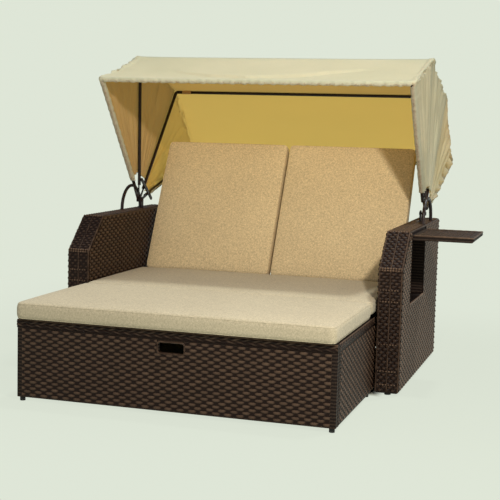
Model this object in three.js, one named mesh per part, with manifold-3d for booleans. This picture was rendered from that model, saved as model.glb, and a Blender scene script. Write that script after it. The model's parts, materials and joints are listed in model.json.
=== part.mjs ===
// Outdoor daybed for two: a woven base with wide arms, a pull-out footrest, folding cushions,
// two reclining backs, flip-up side tables and a fan canopy on hinged hoops.
// Units are millimetres. X runs to the right, Y to the back and Z up.
// The pieces are placed from the footrest's front face, on the floor, in the middle.

import * as THREE from 'three';
import { mergeVertices } from 'three/addons/utils/BufferGeometryUtils.js';
import Module from 'manifold-3d';

const wasm = await Module();
wasm.setup();

// General fits
const fitGap = 0.3;
const overrun = 6;
const barSides = 10;
const roundSteps = 3;
const slatSteps = 2;
const bendSteps = 5;

// Footrest box
const boxHalfWidth = 651.5;
const boxDepth = 648;
const boxTop = 330;
const boxBottom = 17;
const panelThickness = 22;
const panelInset = 3;
const postSize = 28;
const rimHeight = 32;
const rimRound = 7;
const grooveHeight = 4;
const handleWidth = 106;
const handleHeight = 41;
const handleDrop = 45;
const handleRound = 9;
const boxFootRadius = 11;
const boxFootInset = 17;

// Slats and rails under the cushions
const slatThickness = 12.4;
const slatWidth = 80;
const slatSideGap = 74.7;
const fixedSlats = 7;
const slatLap = 36;
const slatRound = 4;
const barDepth = 30;
const footBarHeight = 24.7;
const railHeight = 40;
const railBack = 1285;
const sideRailThickness = 6;
const sideRailFrontGap = 23;
const sideRailBackGap = 30;

// Arms
const armSideGap = 9.8;
const armThickness = 99.7;
const armFront = 677;
const armBack = 1667;
const armBottom = 12;
const armKnee = 534;
const armTop = 680;
const armSlopeRun = 156;
const armEdge = 8;
const armKneeRound = 18;
const armFootRadius = 14;
const armFootInset = 34;

// Pocket in the outer face of each arm, and the side table that covers it
const pocketFront = 870;
const pocketWidth = 362;
const pocketFloor = 365;
const pocketDepth = 72;
const trayAxisHeight = 653;
const trayThickness = 20;
const trayReach = 273;
const trayEndGap = 3;
const traySwingGap = 1.5;
const trayBorder = 26;
const traySink = 2.5;
const trayPinRadius = 3;
const trayPinEnd = 8;

// Rear panel of the base
const rearPanelInset = 7;
const rearPanelThickness = 20;
const rearPanelBottom = 20;
const rearPanelTop = 300;

// Seat and footrest cushions
const cushionSideInset = 3.5;
const cushionHeight = 57;
const cushionCrown = 13;
const cushionOverhang = 22;
const cushionSeamLap = 28;
const cushionSeamGap = 4;
const seatPadBackGap = 84;
const cushionEdge = 16;
const cushionCornerRound = 26;
const cushionDraw = 7;
const cushionBulge = 4;
const cushionSteps = 12;
const cushionAcrossSteps = 16;
const cushionHeightSteps = 4;

// Backs, in a frame whose Z runs up the slope and whose Y points behind the back
const backAxisDepth = 1350;
const backAxisHeight = 327;
const backSlopeDeg = 26.5;
const backTubeRadius = 11;
const backTubeBend = 60;
const backTubeSideGap = 36.3;
const backTubeInner = 32;
const backTubeFoot = 40;
const backTubeTop = 704;
const backCrossHeight = 62;
const backPanelThickness = 8;
const backCushionSideGap = 18.3;
const backCushionInner = 4;
const backCushionFoot = 33;
const backCushionLength = 707;
const backCushionHeight = 62;
const backCushionCornerRound = 18;
const backCushionCrown = 10;
const backCushionDraw = 8;

// Ratchet hinges at the foot of each back
const ratchetRoot = 28;
const ratchetTip = 33;
const ratchetTeeth = 16;
const ratchetSlopeShare = 0.95;
const ratchetThickness = 6;
const ratchetPin = 6;
const ratchetPinClearance = 0.5;
const ratchetHub = 18;
const ratchetStrap = 22;
const ratchetStrapLength = 130;
const ratchetPlate = 5;
const ratchetGap = 0.5;
const ratchetLugHeight = 30;
const ratchetFlange = 34;
const ratchetFlangeThickness = 4;
const pawlGap = 0.8;
const pawlHeight = 9;
const pawlWidth = 12;

// Canopy fan: each hoop stands on one axis over the arms, at its own angle and reach
const fanAxisDepth = 1410;
const fanAxisRise = 40;
const canopySideInset = 23;
const clothOffset = 13;
const clothThickness = 2;
const hoopRadius = 8;
const hoopSleeveRadius = 8.6;
const hoopBend = 12;
const hoopSleeveLength = 26;
const hoopTang = 76;
const hoopTangWidth = 18;
const hoopTangThickness = 3.2;
const hoopTangSpacing = 4;
const frontHoop = { angleDeg: 128.6, reach: 766, layerShare: 1.5 };
const middleHoop = { angleDeg: 91, reach: 718, layerShare: 0.5 };
const upperHoop = { angleDeg: 48.2, reach: 762, layerShare: -0.5 };
const rearHoop = { angleDeg: 14.4, reach: 860, layerShare: -1.5 };
const fanBoltRadius = 5;
const fanBoltClearance = 0.3;
const fanHeadRadius = 9;
const fanHeadHeight = 3;
const fanEarThickness = 6;
const fanEarOffset = 15;
const fanEarRadius = 15;
const fanPlateLength = 56;
const fanPlateWidth = 40;
const fanPlateThickness = 4;

// Stays that hold the rear hoop up from the middle hoop
const stayWidth = 17;
const stayThickness = 6;
const stayUpperReach = 104;
const stayLowerReach = 102;
const stayTail = 44;
const studRadius = 4;
const studGap = 0.5;
const studLength = 12;
const studTravelDeg = 16;
const stayBossRadius = 7;

// Bent guard tubes on the arms, outside the hoops
const guardSideInset = 13;
const guardFrontReach = 163;
const guardRearReach = 70;
const guardHeight = 116;
const guardTubeRadius = 8;
const guardFootRadius = 11;
const guardFootHeight = 4;
const guardSteps = 14;

// Canopy cloth
const clothFoot = 140;
const clothSeamGap = 0.7;
const clothHem = 16;
const roofSag = 22;
const sideSag = 5;
const sideFoldDepth = 3;
const hemFoldDepth = 2.5;
const sideFolds = 3;
const hemFolds = 17;
const clothSideRows = 8;
const clothBendRows = 4;
const clothRoofRows = 12;
const clothSpanRows = 6;

// Values that follow from the sizes above
const armInner = boxHalfWidth + armSideGap;
const armOuter = armInner + armThickness;
const slatBottom = boxTop + fitGap;
const slatTop = slatBottom + slatThickness;
const deckHalfWidth = armInner - sideRailThickness - 2 * fitGap;
const slatSpacing = 2 * (deckHalfWidth - slatSideGap - slatWidth / 2) / (fixedSlats - 1);
const cushionBottom = slatTop + fitGap;
const cushionHalfWidth = boxHalfWidth - cushionSideInset;
const cushionSeam = boxDepth - cushionSeamLap;
const backTubeOuter = armInner - backTubeSideGap;
const backCushionOuter = armInner - backCushionSideGap;
const canopyHalfWidth = armOuter - canopySideInset;
const fanAxisHeight = armTop + fanAxisRise;
const guardOffset = armOuter - guardSideInset;
const guardFront = fanAxisDepth - guardFrontReach;
const guardBack = fanAxisDepth + guardRearReach;
const trayRadius = trayThickness / 2;
const trayAxisOffset = armOuter - trayRadius;
const pocketTop = trayAxisHeight + trayRadius + traySwingGap;
const pocketBack = pocketFront + pocketWidth;
const hoopOffset = canopyHalfWidth - clothOffset;
const clothStations = 2 * (clothSideRows + clothBendRows) + clothRoofRows;
const sides = { left: -1, right: 1 };

const wicker = { color: 0x3a2419, roughness: 0.55, metalness: 0 };
const wickerLight = { color: 0x4a3122, roughness: 0.55, metalness: 0 };
const darkMetal = { color: 0x1d1312, roughness: 0.4, metalness: 0.6 };
const zincMetal = { color: 0x6d6c6a, roughness: 0.4, metalness: 0.9 };
const slatWood = { color: 0x6b4a30, roughness: 0.7, metalness: 0 };
const blackPlastic = { color: 0x151413, roughness: 0.6, metalness: 0 };
const cushionCloth = { color: 0xc9ab79, roughness: 0.95, metalness: 0 };
const seatCloth = { color: 0xd8c69f, roughness: 0.95, metalness: 0 };
const canopyCloth = { color: 0xe2dcc0, roughness: 0.9, metalness: 0 };

const daybed = new THREE.Group();

function place(parent, name, geometry, finish) {
  const mesh = new THREE.Mesh(geometry, new THREE.MeshStandardMaterial(finish));
  mesh.name = name;
  parent.add(mesh);
  return mesh;
}

function toSolid(geometry) {
  const bare = geometry.clone();
  bare.deleteAttribute('normal');
  bare.deleteAttribute('uv');
  const merged = mergeVertices(bare);
  const data = {
    numProp: 3,
    vertProperties: new Float32Array(merged.attributes.position.array),
    triVerts: new Uint32Array(merged.index.array),
  };
  return new wasm.Manifold(new wasm.Mesh(data));
}

function fromSolid(solid) {
  const mesh = solid.getMesh();
  const geometry = new THREE.BufferGeometry();
  geometry.setAttribute('position', new THREE.BufferAttribute(mesh.vertProperties, 3));
  geometry.setIndex(new THREE.BufferAttribute(mesh.triVerts, 1));
  geometry.computeVertexNormals();
  return geometry;
}

function joined(...geometries) {
  const solids = geometries.map(toSolid);
  return fromSolid(solids.reduce((sum, solid) => sum.add(solid)));
}

function cut(geometry, ...cutters) {
  const solid = cutters.map(toSolid).reduce((rest, cutter) => rest.subtract(cutter), toSolid(geometry));
  return fromSolid(solid);
}

function block(x0, x1, y0, y1, z0, z1) {
  const geometry = new THREE.BoxGeometry(Math.abs(x1 - x0), Math.abs(y1 - y0), Math.abs(z1 - z0));
  geometry.translate((x0 + x1) / 2, (y0 + y1) / 2, (z0 + z1) / 2);
  return geometry;
}

function roundedRect(x0, x1, y0, y1, round) {
  const shape = new THREE.Shape();
  shape.moveTo(x0 + round, y0);
  shape.lineTo(x1 - round, y0);
  shape.absarc(x1 - round, y0 + round, round, -Math.PI / 2, 0);
  shape.lineTo(x1, y1 - round);
  shape.absarc(x1 - round, y1 - round, round, 0, Math.PI / 2);
  shape.lineTo(x0 + round, y1);
  shape.absarc(x0 + round, y1 - round, round, Math.PI / 2, Math.PI);
  shape.lineTo(x0, y0 + round);
  shape.absarc(x0 + round, y0 + round, round, Math.PI, Math.PI * 1.5);
  return shape;
}

// Turns an extrusion made in XY along Z so that its outline lies in YZ and its depth runs along X
const outlineToYZ = new THREE.Matrix4().makeBasis(
  new THREE.Vector3(0, 1, 0), new THREE.Vector3(0, 0, 1), new THREE.Vector3(1, 0, 0));
// Outline in ZX, depth along Y
const outlineToZX = new THREE.Matrix4().makeBasis(
  new THREE.Vector3(0, 0, 1), new THREE.Vector3(1, 0, 0), new THREE.Vector3(0, 1, 0));

function extrude(shape, depth, curveSegments = roundSteps) {
  return new THREE.ExtrudeGeometry(shape, { depth, steps: 1, bevelEnabled: false, curveSegments });
}

function plateAlongX(shape, x0, x1, curveSegments = roundSteps) {
  const plate = extrude(shape, Math.abs(x1 - x0), curveSegments);
  return plate.applyMatrix4(outlineToYZ).translate(Math.min(x0, x1), 0, 0);
}

function plateAlongY(shape, y0, y1, curveSegments = roundSteps) {
  return extrude(shape, y1 - y0, curveSegments).applyMatrix4(outlineToZX).translate(0, y0, 0);
}

function plateAlongZ(shape, z0, z1) {
  return extrude(shape, z1 - z0).translate(0, 0, z0);
}

function rodAlongX(x0, x1, y, z, radius, count = barSides) {
  const rod = new THREE.CylinderGeometry(radius, radius, Math.abs(x1 - x0), count);
  return rod.rotateZ(Math.PI / 2).translate((x0 + x1) / 2, y, z);
}

function rodAlongY(y0, y1, x, z, radius, count = barSides) {
  const rod = new THREE.CylinderGeometry(radius, radius, y1 - y0, count);
  return rod.translate(x, (y0 + y1) / 2, z);
}

function rodAlongZ(z0, z1, x, y, radius, count = barSides) {
  const rod = new THREE.CylinderGeometry(radius, radius, z1 - z0, count);
  return rod.rotateX(Math.PI / 2).translate(x, y, (z0 + z1) / 2);
}

// A curve through given stations, one ring of the tube at each
class StationCurve extends THREE.Curve {
  constructor(stations) {
    super();
    this.stations = stations;
  }

  getPoint(t) {
    const last = this.stations.length - 1;
    const index = Math.min(Math.floor(t * last), last - 1);
    return this.stations[index].clone().lerp(this.stations[index + 1], t * last - index);
  }

  getPointAt(u) {
    return this.getPoint(u);
  }

  getTangentAt(u) {
    const last = this.stations.length - 1;
    const index = Math.round(u * last);
    const before = this.stations[Math.max(index - 1, 0)];
    const here = this.stations[index];
    const after = this.stations[Math.min(index + 1, last)];
    const inward = here.clone().sub(before).normalize();
    const outward = after.clone().sub(here).normalize();
    return inward.add(outward).normalize();
  }

  getSpacedPoints() {
    return this.stations.map((point) => point.clone());
  }
}

function tubeThrough(stations, radius, count = barSides) {
  const ring = [];
  for (let i = 0; i < count; i += 1) {
    const angle = (Math.PI * 2 * i) / count;
    ring.push(new THREE.Vector2(Math.cos(angle) * radius, Math.sin(angle) * radius));
  }
  const settings = { extrudePath: new StationCurve(stations), steps: stations.length - 1 };
  return new THREE.ExtrudeGeometry(new THREE.Shape(ring), settings);
}

// Stations of a quarter bend in a plane given by two unit directions, about a centre
function bendStations(centre, from, towards, radius) {
  const stations = [];
  for (let i = 0; i <= bendSteps; i += 1) {
    const angle = (Math.PI / 2) * (i / bendSteps);
    const point = centre.clone();
    point.addScaledVector(from, radius * Math.cos(angle));
    point.addScaledVector(towards, radius * Math.sin(angle));
    stations.push(point);
  }
  return stations;
}

// An upside-down U: up at x0, over, and down at x1, in the plane given by its two directions
function archStations(x0, x1, foot, top, bend, up) {
  const left = new THREE.Vector3(-1, 0, 0);
  const right = new THREE.Vector3(1, 0, 0);
  const start = new THREE.Vector3(x0, 0, 0).addScaledVector(up, foot);
  const end = new THREE.Vector3(x1, 0, 0).addScaledVector(up, foot);
  const firstCentre = new THREE.Vector3(x0 + bend, 0, 0).addScaledVector(up, top - bend);
  const lastCentre = new THREE.Vector3(x1 - bend, 0, 0).addScaledVector(up, top - bend);
  const first = bendStations(firstCentre, left, up, bend);
  const last = bendStations(lastCentre, up, right, bend);
  return [start, ...first, ...last, end];
}

// Footrest box: front and side panels with corner posts and a wrapped rim, slats, feet
function footrestPanel(name, parent, length, toPlace, opening) {
  const half = length / 2;
  const webTop = boxTop - rimHeight - grooveHeight;
  const web = block(-half, half, panelInset, panelThickness, boxBottom, boxTop - overrun);
  const rim = plateAlongX(roundedRect(0, postSize, boxTop - rimHeight, boxTop, rimRound), -half, half);
  const postShape = () => roundedRect(0, postSize, 0, postSize, rimRound);
  const postTop = boxTop - rimHeight + overrun;
  const leftPost = plateAlongZ(postShape(), boxBottom, postTop).translate(-half, 0, 0);
  const rightPost = plateAlongZ(postShape(), boxBottom, postTop).translate(half - postSize, 0, 0);
  const rail = block(-half + overrun, half - overrun, panelInset / 2, panelThickness, boxBottom, webTop);
  let geometry = joined(web, rim, leftPost, rightPost, rail);
  if (opening) {
    geometry = cut(geometry, opening);
  }
  return place(parent, name, geometry.applyMatrix4(toPlace), wicker);
}

function addFootrest() {
  const group = new THREE.Group();
  const handleShape = roundedRect(boxTop - handleDrop - handleHeight, boxTop - handleDrop,
    -handleWidth / 2, handleWidth / 2, handleRound);
  const handle = plateAlongY(handleShape, -overrun, postSize + overrun);
  footrestPanel('footrest_front_panel', group, 2 * boxHalfWidth, new THREE.Matrix4(), handle);
  const sideLength = boxDepth - postSize - fitGap;
  const sideMiddle = postSize + fitGap + sideLength / 2;
  for (const [label, side] of Object.entries(sides)) {
    const turn = new THREE.Matrix4().makeRotationZ((side * Math.PI) / 2);
    const shift = new THREE.Matrix4().makeTranslation(side * boxHalfWidth, sideMiddle, 0);
    footrestPanel(`footrest_${label}_panel`, group, sideLength, shift.multiply(turn));
  }
  for (const [label, side] of Object.entries(sides)) {
    const x = side * (boxHalfWidth - boxFootInset);
    const front = rodAlongZ(0, boxBottom - fitGap, x, boxFootInset, boxFootRadius);
    const rear = rodAlongZ(0, boxBottom - fitGap, x, boxDepth - boxFootInset, boxFootRadius);
    place(group, `footrest_${label}_front_foot`, front, blackPlastic);
    place(group, `footrest_${label}_rear_foot`, rear, blackPlastic);
  }
  addFootrestSlats(group);
  daybed.add(group);
}

function slat(x, y0, y1) {
  const shape = roundedRect(slatBottom, slatTop, x - slatWidth / 2, x + slatWidth / 2, slatRound);
  return plateAlongY(shape, y0, y1, slatSteps);
}

function addFootrestSlats(group) {
  const barHalf = boxHalfWidth - postSize - fitGap;
  const barTop = slatBottom + slatRound;
  const barBottom = boxTop - footBarHeight;
  const bar = block(-barHalf, barHalf, boxDepth - barDepth, boxDepth, barBottom, boxTop - fitGap);
  const pieces = [bar];
  for (let i = 0; i < fixedSlats - 1; i += 1) {
    const x = (i - (fixedSlats - 2) / 2) * slatSpacing;
    pieces.push(slat(x, panelInset, boxDepth));
    const blockHalf = slatWidth / 2 - slatRound;
    const blockFront = boxDepth - barDepth;
    pieces.push(block(x - blockHalf, x + blockHalf, blockFront, boxDepth - overrun, barBottom, barTop));
  }
  place(group, 'footrest_slats', joined(...pieces), slatWood);
}

// Fixed seat deck: slats on a rear rail, flat rails along the arms
function addDeck() {
  const railBottom = boxTop - railHeight;
  const railTop = slatBottom + slatRound;
  const pieces = [block(-deckHalfWidth, deckHalfWidth, railBack - barDepth, railBack, railBottom, railTop)];
  for (let i = 0; i < fixedSlats; i += 1) {
    const x = (i - (fixedSlats - 1) / 2) * slatSpacing;
    pieces.push(slat(x, boxDepth - slatLap, railBack));
  }
  place(daybed, 'seat_deck', joined(...pieces), slatWood);
  for (const [label, side] of Object.entries(sides)) {
    const outer = side * (armInner - fitGap);
    const inner = outer - side * sideRailThickness;
    const railFront = armFront + sideRailFrontGap;
    const railEnd = armBack - sideRailBackGap;
    const rail = block(inner, outer, railFront, railEnd, railBottom, boxTop);
    place(daybed, `${label}_side_rail`, rail, darkMetal);
  }
  const panelHalf = armInner - fitGap;
  const rearShape = roundedRect(armBack - rearPanelInset - rearPanelThickness, armBack - rearPanelInset,
    rearPanelBottom, rearPanelTop, rimRound);
  place(daybed, 'rear_base_panel', plateAlongX(rearShape, -panelHalf, panelHalf), wicker);
}

// One arm: a slab with a sloping front shoulder, and a pocket in its outer face
function armOutline() {
  const slopeRise = armTop - armKnee;
  const slopeLength = Math.hypot(armSlopeRun, slopeRise);
  const runShare = armSlopeRun / slopeLength;
  const riseShare = slopeRise / slopeLength;
  const shape = new THREE.Shape();
  shape.moveTo(armFront, armBottom);
  shape.lineTo(armBack, armBottom);
  shape.lineTo(armBack, armTop);
  shape.lineTo(armFront + armSlopeRun + armKneeRound, armTop);
  shape.quadraticCurveTo(armFront + armSlopeRun, armTop,
    armFront + armSlopeRun - armKneeRound * runShare, armTop - armKneeRound * riseShare);
  shape.lineTo(armFront + armKneeRound * runShare, armKnee + armKneeRound * riseShare);
  shape.quadraticCurveTo(armFront, armKnee, armFront, armKnee - armKneeRound);
  return shape;
}

function armSlab() {
  const settings = {
    depth: armThickness - 2 * armEdge,
    steps: 1,
    bevelEnabled: true,
    bevelThickness: armEdge,
    bevelSize: armEdge,
    bevelOffset: -armEdge,
    bevelSegments: roundSteps,
    curveSegments: roundSteps,
  };
  return new THREE.ExtrudeGeometry(armOutline(), settings).applyMatrix4(outlineToYZ).translate(armEdge, 0, 0);
}

// A rod on a side table's hinge axis, running past both ends of the pocket
function trayRod(side, past, radius) {
  return rodAlongY(pocketFront - past, pocketBack + past, side * trayAxisOffset, trayAxisHeight, radius);
}

function addArms() {
  for (const [label, side] of Object.entries(sides)) {
    const start = side > 0 ? armInner : -armOuter;
    const slab = armSlab().translate(start, 0, 0);
    const deep = side * (armOuter - pocketDepth);
    const open = side * (armOuter + overrun);
    const pocket = block(deep, open, pocketFront, pocketBack, pocketFloor, pocketTop);
    const pinHole = trayRod(side, trayPinEnd + fitGap, trayPinRadius + fitGap);
    place(daybed, `${label}_arm`, cut(slab, pocket, pinHole), wicker);
    const x = side * (armInner + armThickness / 2);
    const front = rodAlongZ(0, armBottom - fitGap, x, armFront + armFootInset, armFootRadius);
    const rear = rodAlongZ(0, armBottom - fitGap, x, armBack - armFootInset, armFootRadius);
    place(daybed, `${label}_arm_front_foot`, front, blackPlastic);
    place(daybed, `${label}_arm_rear_foot`, rear, blackPlastic);
  }
}

// Side table: a plate with a sunk woven top, whose root is the barrel of its hinge
function trayGeometry(topSide) {
  const shape = new THREE.Shape();
  shape.absarc(0, 0, trayRadius, Math.PI / 2, Math.PI * 1.5);
  shape.lineTo(trayReach - trayRadius, -trayRadius);
  shape.absarc(trayReach - trayRadius, 0, trayRadius, -Math.PI / 2, Math.PI / 2);
  shape.lineTo(0, trayRadius);
  const y0 = pocketFront + trayEndGap;
  const y1 = pocketBack - trayEndGap;
  const plate = extrude(shape, y1 - y0, 2 * roundSteps).rotateX(Math.PI / 2).translate(0, y1, 0);
  const sinkNear = trayRadius - traySink;
  const sinkFar = trayRadius + overrun;
  const z0 = topSide > 0 ? sinkNear : -sinkFar;
  const z1 = topSide > 0 ? sinkFar : -sinkNear;
  const sink = block(trayBorder, trayReach - trayBorder, y0 + trayBorder, y1 - trayBorder, z0, z1);
  const bore = rodAlongY(y0 - overrun, y1 + overrun, 0, 0, trayPinRadius + fitGap);
  return cut(plate, sink, bore);
}

function addTrays() {
  for (const [label, side] of Object.entries(sides)) {
    const hinge = new THREE.Group();
    hinge.position.set(side * trayAxisOffset, 0, trayAxisHeight);
    hinge.rotation.y = side > 0 ? 0 : Math.PI / 2;
    place(hinge, `${label}_tray`, trayGeometry(side), wickerLight);
    daybed.add(hinge);
    place(daybed, `${label}_tray_pin`, trayRod(side, trayPinEnd, trayPinRadius), zincMetal);
  }
}

// Grid lines of a cushion along one axis: close together at its two rounded edges
function cushionLine(index, count, half, edge) {
  const middle = index - count / 2;
  const sign = Math.sign(middle);
  const fromEdge = count / 2 - Math.abs(middle);
  const edgeShares = [0, 0.3, 1];
  if (fromEdge < edgeShares.length) {
    return sign * (half - edge * edgeShares[fromEdge]);
  }
  const inner = count / 2 - (edgeShares.length - 1);
  return (middle / inner) * (half - edge);
}

// A crowned cushion lying on z = 0, with rounded edges, drawn-in sides and a flat underside
function cushionGeometry(size) {
  const { halfX, halfY, height, crown, edge, corner, draw, bulge, linesX, linesY } = size;
  const linesZ = cushionHeightSteps;
  const geometry = new THREE.BoxGeometry(linesX, linesY, linesZ, linesX, linesY, linesZ);
  const position = geometry.attributes.position;
  const point = new THREE.Vector3();
  const plan = new THREE.Vector2();
  const inside = new THREE.Vector2();
  const centre = new THREE.Vector3();
  for (let i = 0; i < position.count; i += 1) {
    const ix = Math.round(position.getX(i) + linesX / 2);
    const iy = Math.round(position.getY(i) + linesY / 2);
    const iz = Math.round(position.getZ(i) + linesZ / 2);
    point.x = cushionLine(ix, linesX, halfX, corner);
    point.y = cushionLine(iy, linesY, halfY, corner);
    point.z = cushionLine(iz, linesZ, height / 2, edge);
    plan.set(point.x, point.y);
    inside.set(THREE.MathUtils.clamp(point.x, corner - halfX, halfX - corner),
      THREE.MathUtils.clamp(point.y, corner - halfY, halfY - corner));
    const out = plan.clone().sub(inside);
    if (out.x !== 0 && out.y !== 0) {
      out.setLength(Math.max(Math.abs(out.x), Math.abs(out.y)));
    }
    plan.copy(inside).add(out);
    const depth = corner - out.length();
    const rim = Math.min(depth, edge);
    const level = THREE.MathUtils.clamp(point.z, edge - height / 2, height / 2 - edge);
    centre.set(rim < edge ? edge - rim : 0, 0, point.z - level);
    const reach = Math.max(Math.abs(centre.x), Math.abs(centre.z));
    const turned = Math.hypot(centre.x, centre.z);
    const scale = turned > 0 ? reach / turned : 1;
    const pull = (edge - rim) * (1 - scale);
    const direction = out.length() > 0 ? out.clone().normalize() : new THREE.Vector2();
    plan.addScaledVector(direction, -pull);
    const shareX = plan.x / halfX;
    const shareY = plan.y / halfY;
    const roundTop = Math.max(0, (1 - shareX ** 2) * (1 - shareY ** 2));
    const levelShare = point.z / (height / 2);
    const side = bulge * (1 - levelShare ** 2);
    const drawX = draw * (1 - shareY ** 2) * Math.abs(shareX) ** 6;
    const drawY = draw * (1 - shareX ** 2) * Math.abs(shareY) ** 6;
    plan.x -= Math.sign(plan.x) * (drawX - side * Math.abs(shareX) ** 6);
    plan.y -= Math.sign(plan.y) * (drawY - side * Math.abs(shareY) ** 6);
    const rise = level + centre.z * scale + height / 2;
    const lift = (rise / height) * crown * roundTop ** 0.6;
    position.setXYZ(i, plan.x, plan.y, rise + lift);
  }
  geometry.deleteAttribute('normal');
  geometry.deleteAttribute('uv');
  const merged = mergeVertices(geometry);
  merged.computeVertexNormals();
  return merged;
}

// A pad of the seat, from its front seam to its back seam
function seatPad(front, back) {
  const size = {
    halfX: cushionHalfWidth,
    halfY: (back - front) / 2,
    height: cushionHeight,
    crown: cushionCrown,
    edge: cushionEdge,
    corner: cushionCornerRound,
    draw: cushionDraw,
    bulge: cushionBulge,
    linesX: cushionAcrossSteps,
    linesY: cushionSteps,
  };
  return cushionGeometry(size).translate(0, (front + back) / 2, cushionBottom);
}

function addSeatCushions() {
  const seamInset = cushionSeamGap / 2 + cushionBulge;
  const foot = seatPad(-cushionOverhang - cushionBulge, cushionSeam - seamInset);
  const seat = seatPad(cushionSeam + seamInset, backAxisDepth - seatPadBackGap);
  place(daybed, 'foot_cushion', foot, seatCloth);
  place(daybed, 'seat_cushion', seat, seatCloth);
}

// One back: a bent tube frame with a woven panel, its cushion and the moving half of two ratchet hinges
function backFrame(outer, inner) {
  const up = new THREE.Vector3(0, 0, 1);
  const x0 = Math.min(outer, inner);
  const x1 = Math.max(outer, inner);
  const arch = tubeThrough(archStations(x0, x1, backTubeFoot, backTubeTop, backTubeBend, up), backTubeRadius);
  const cross = rodAlongX(x0, x1, 0, backCrossHeight, backTubeRadius);
  return joined(arch, cross);
}

function backPanel(outer, inner) {
  const margin = backTubeRadius + 2 * fitGap;
  const x0 = Math.min(outer, inner) + margin;
  const x1 = Math.max(outer, inner) - margin;
  const shape = new THREE.Shape();
  const round = backTubeBend - backTubeRadius;
  const z0 = backCrossHeight + margin;
  const z1 = backTubeTop - margin;
  shape.moveTo(z0, x0);
  shape.lineTo(z1 - round, x0);
  shape.absarc(z1 - round, x0 + round, round, -Math.PI / 2, 0);
  shape.lineTo(z1, x1 - round);
  shape.absarc(z1 - round, x1 - round, round, 0, Math.PI / 2);
  shape.lineTo(z0, x1);
  return extrude(shape, backPanelThickness, bendSteps).applyMatrix4(outlineToZX)
    .translate(0, -backPanelThickness / 2, 0);
}

function backCushion(outer, inner) {
  const size = {
    halfX: Math.abs(outer - inner) / 2,
    halfY: backCushionLength / 2,
    height: backCushionHeight,
    crown: backCushionCrown,
    edge: cushionEdge,
    corner: backCushionCornerRound,
    draw: backCushionDraw,
    bulge: 0,
    linesX: cushionSteps,
    linesY: cushionSteps,
  };
  const flat = cushionGeometry(size).rotateX(Math.PI / 2);
  const middle = backCushionFoot + backCushionLength / 2;
  return flat.translate((outer + inner) / 2, -backTubeRadius - fitGap, middle);
}

// The strap lies beside the tube, and its pawl reaches over the toothed wheel next to it
function ratchetStrapGeometry(x, away) {
  const near = x + away * (backTubeRadius + fitGap);
  const far = near + away * ratchetPlate;
  const wheelFar = far + away * (ratchetGap + ratchetThickness);
  const shape = new THREE.Shape();
  const half = ratchetStrap / 2;
  const neck = Math.sqrt(ratchetHub ** 2 - half ** 2);
  const turn = Math.atan2(half, neck);
  shape.absarc(0, 0, ratchetHub, Math.PI / 2 + turn, Math.PI * 2.5 - turn);
  shape.lineTo(half, ratchetStrapLength - half);
  shape.absarc(0, ratchetStrapLength - half, half, 0, Math.PI);
  const strap = plateAlongX(shape, near, far, 2 * roundSteps);
  const pawlFoot = ratchetTip + pawlGap;
  const pawl = block(near, wheelFar, -pawlWidth / 2, pawlWidth / 2, pawlFoot, pawlFoot + pawlHeight);
  const boreRadius = ratchetPin + ratchetPinClearance;
  const bore = rodAlongX(near - away * overrun, far + away * overrun, 0, 0, boreRadius);
  return cut(joined(strap, pawl), bore);
}

// The fixed half: a toothed wheel with its pin, on a lug that stands behind the rear rail
function ratchetBaseGeometry(x, away) {
  const near = x + away * (backTubeRadius + fitGap + ratchetPlate + ratchetGap);
  const far = near + away * ratchetThickness;
  const pinEnd = x + away * (backTubeRadius + fitGap);
  const shape = new THREE.Shape();
  for (let i = 0; i < ratchetTeeth; i += 1) {
    const start = (Math.PI * 2 * i) / ratchetTeeth;
    const end = start + ((Math.PI * 2) / ratchetTeeth) * ratchetSlopeShare;
    const tip = new THREE.Vector2(Math.cos(start), Math.sin(start)).multiplyScalar(ratchetTip);
    const root = new THREE.Vector2(Math.cos(end), Math.sin(end)).multiplyScalar(ratchetRoot);
    if (i === 0) {
      shape.moveTo(tip.x, tip.y);
    } else {
      shape.lineTo(tip.x, tip.y);
    }
    shape.lineTo(root.x, root.y);
  }
  const wheel = plateAlongX(shape, near, far).translate(0, backAxisDepth, backAxisHeight);
  const pin = rodAlongX(pinEnd, far, backAxisDepth, backAxisHeight, ratchetPin);
  const lugBottom = backAxisHeight - ratchetLugHeight;
  const lugFront = railBack + fitGap;
  const lug = block(near, far, lugFront, backAxisDepth, lugBottom, backAxisHeight);
  const flangeFar = near - away * (ratchetFlange - ratchetThickness);
  const flangeBack = lugFront + ratchetFlangeThickness;
  const flange = block(flangeFar, far, lugFront, flangeBack, lugBottom, backAxisHeight);
  return joined(wheel, pin, lug, flange);
}

function addBacks() {
  for (const [label, side] of Object.entries(sides)) {
    const group = new THREE.Group();
    group.position.set(0, backAxisDepth, backAxisHeight);
    group.rotation.x = THREE.MathUtils.degToRad(-backSlopeDeg);
    const outer = side * backTubeOuter;
    const inner = side * backTubeInner;
    place(group, `${label}_back_frame`, backFrame(outer, inner), darkMetal);
    place(group, `${label}_back_panel`, backPanel(outer, inner), wicker);
    const cushion = backCushion(side * backCushionOuter, side * backCushionInner);
    place(group, `${label}_back_cushion`, cushion, cushionCloth);
    place(group, `${label}_outer_ratchet_strap`, ratchetStrapGeometry(outer, side), zincMetal);
    place(group, `${label}_inner_ratchet_strap`, ratchetStrapGeometry(inner, -side), zincMetal);
    daybed.add(group);
    place(daybed, `${label}_outer_ratchet_base`, ratchetBaseGeometry(outer, side), zincMetal);
    place(daybed, `${label}_inner_ratchet_base`, ratchetBaseGeometry(inner, -side), zincMetal);
  }
}

// Hoops are drawn in a frame on the fan axis, whose Y runs along their legs
function fanGroup(hoop) {
  const group = new THREE.Group();
  group.position.set(0, fanAxisDepth, fanAxisHeight);
  group.rotation.x = THREE.MathUtils.degToRad(hoop.angleDeg);
  daybed.add(group);
  return group;
}

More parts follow.
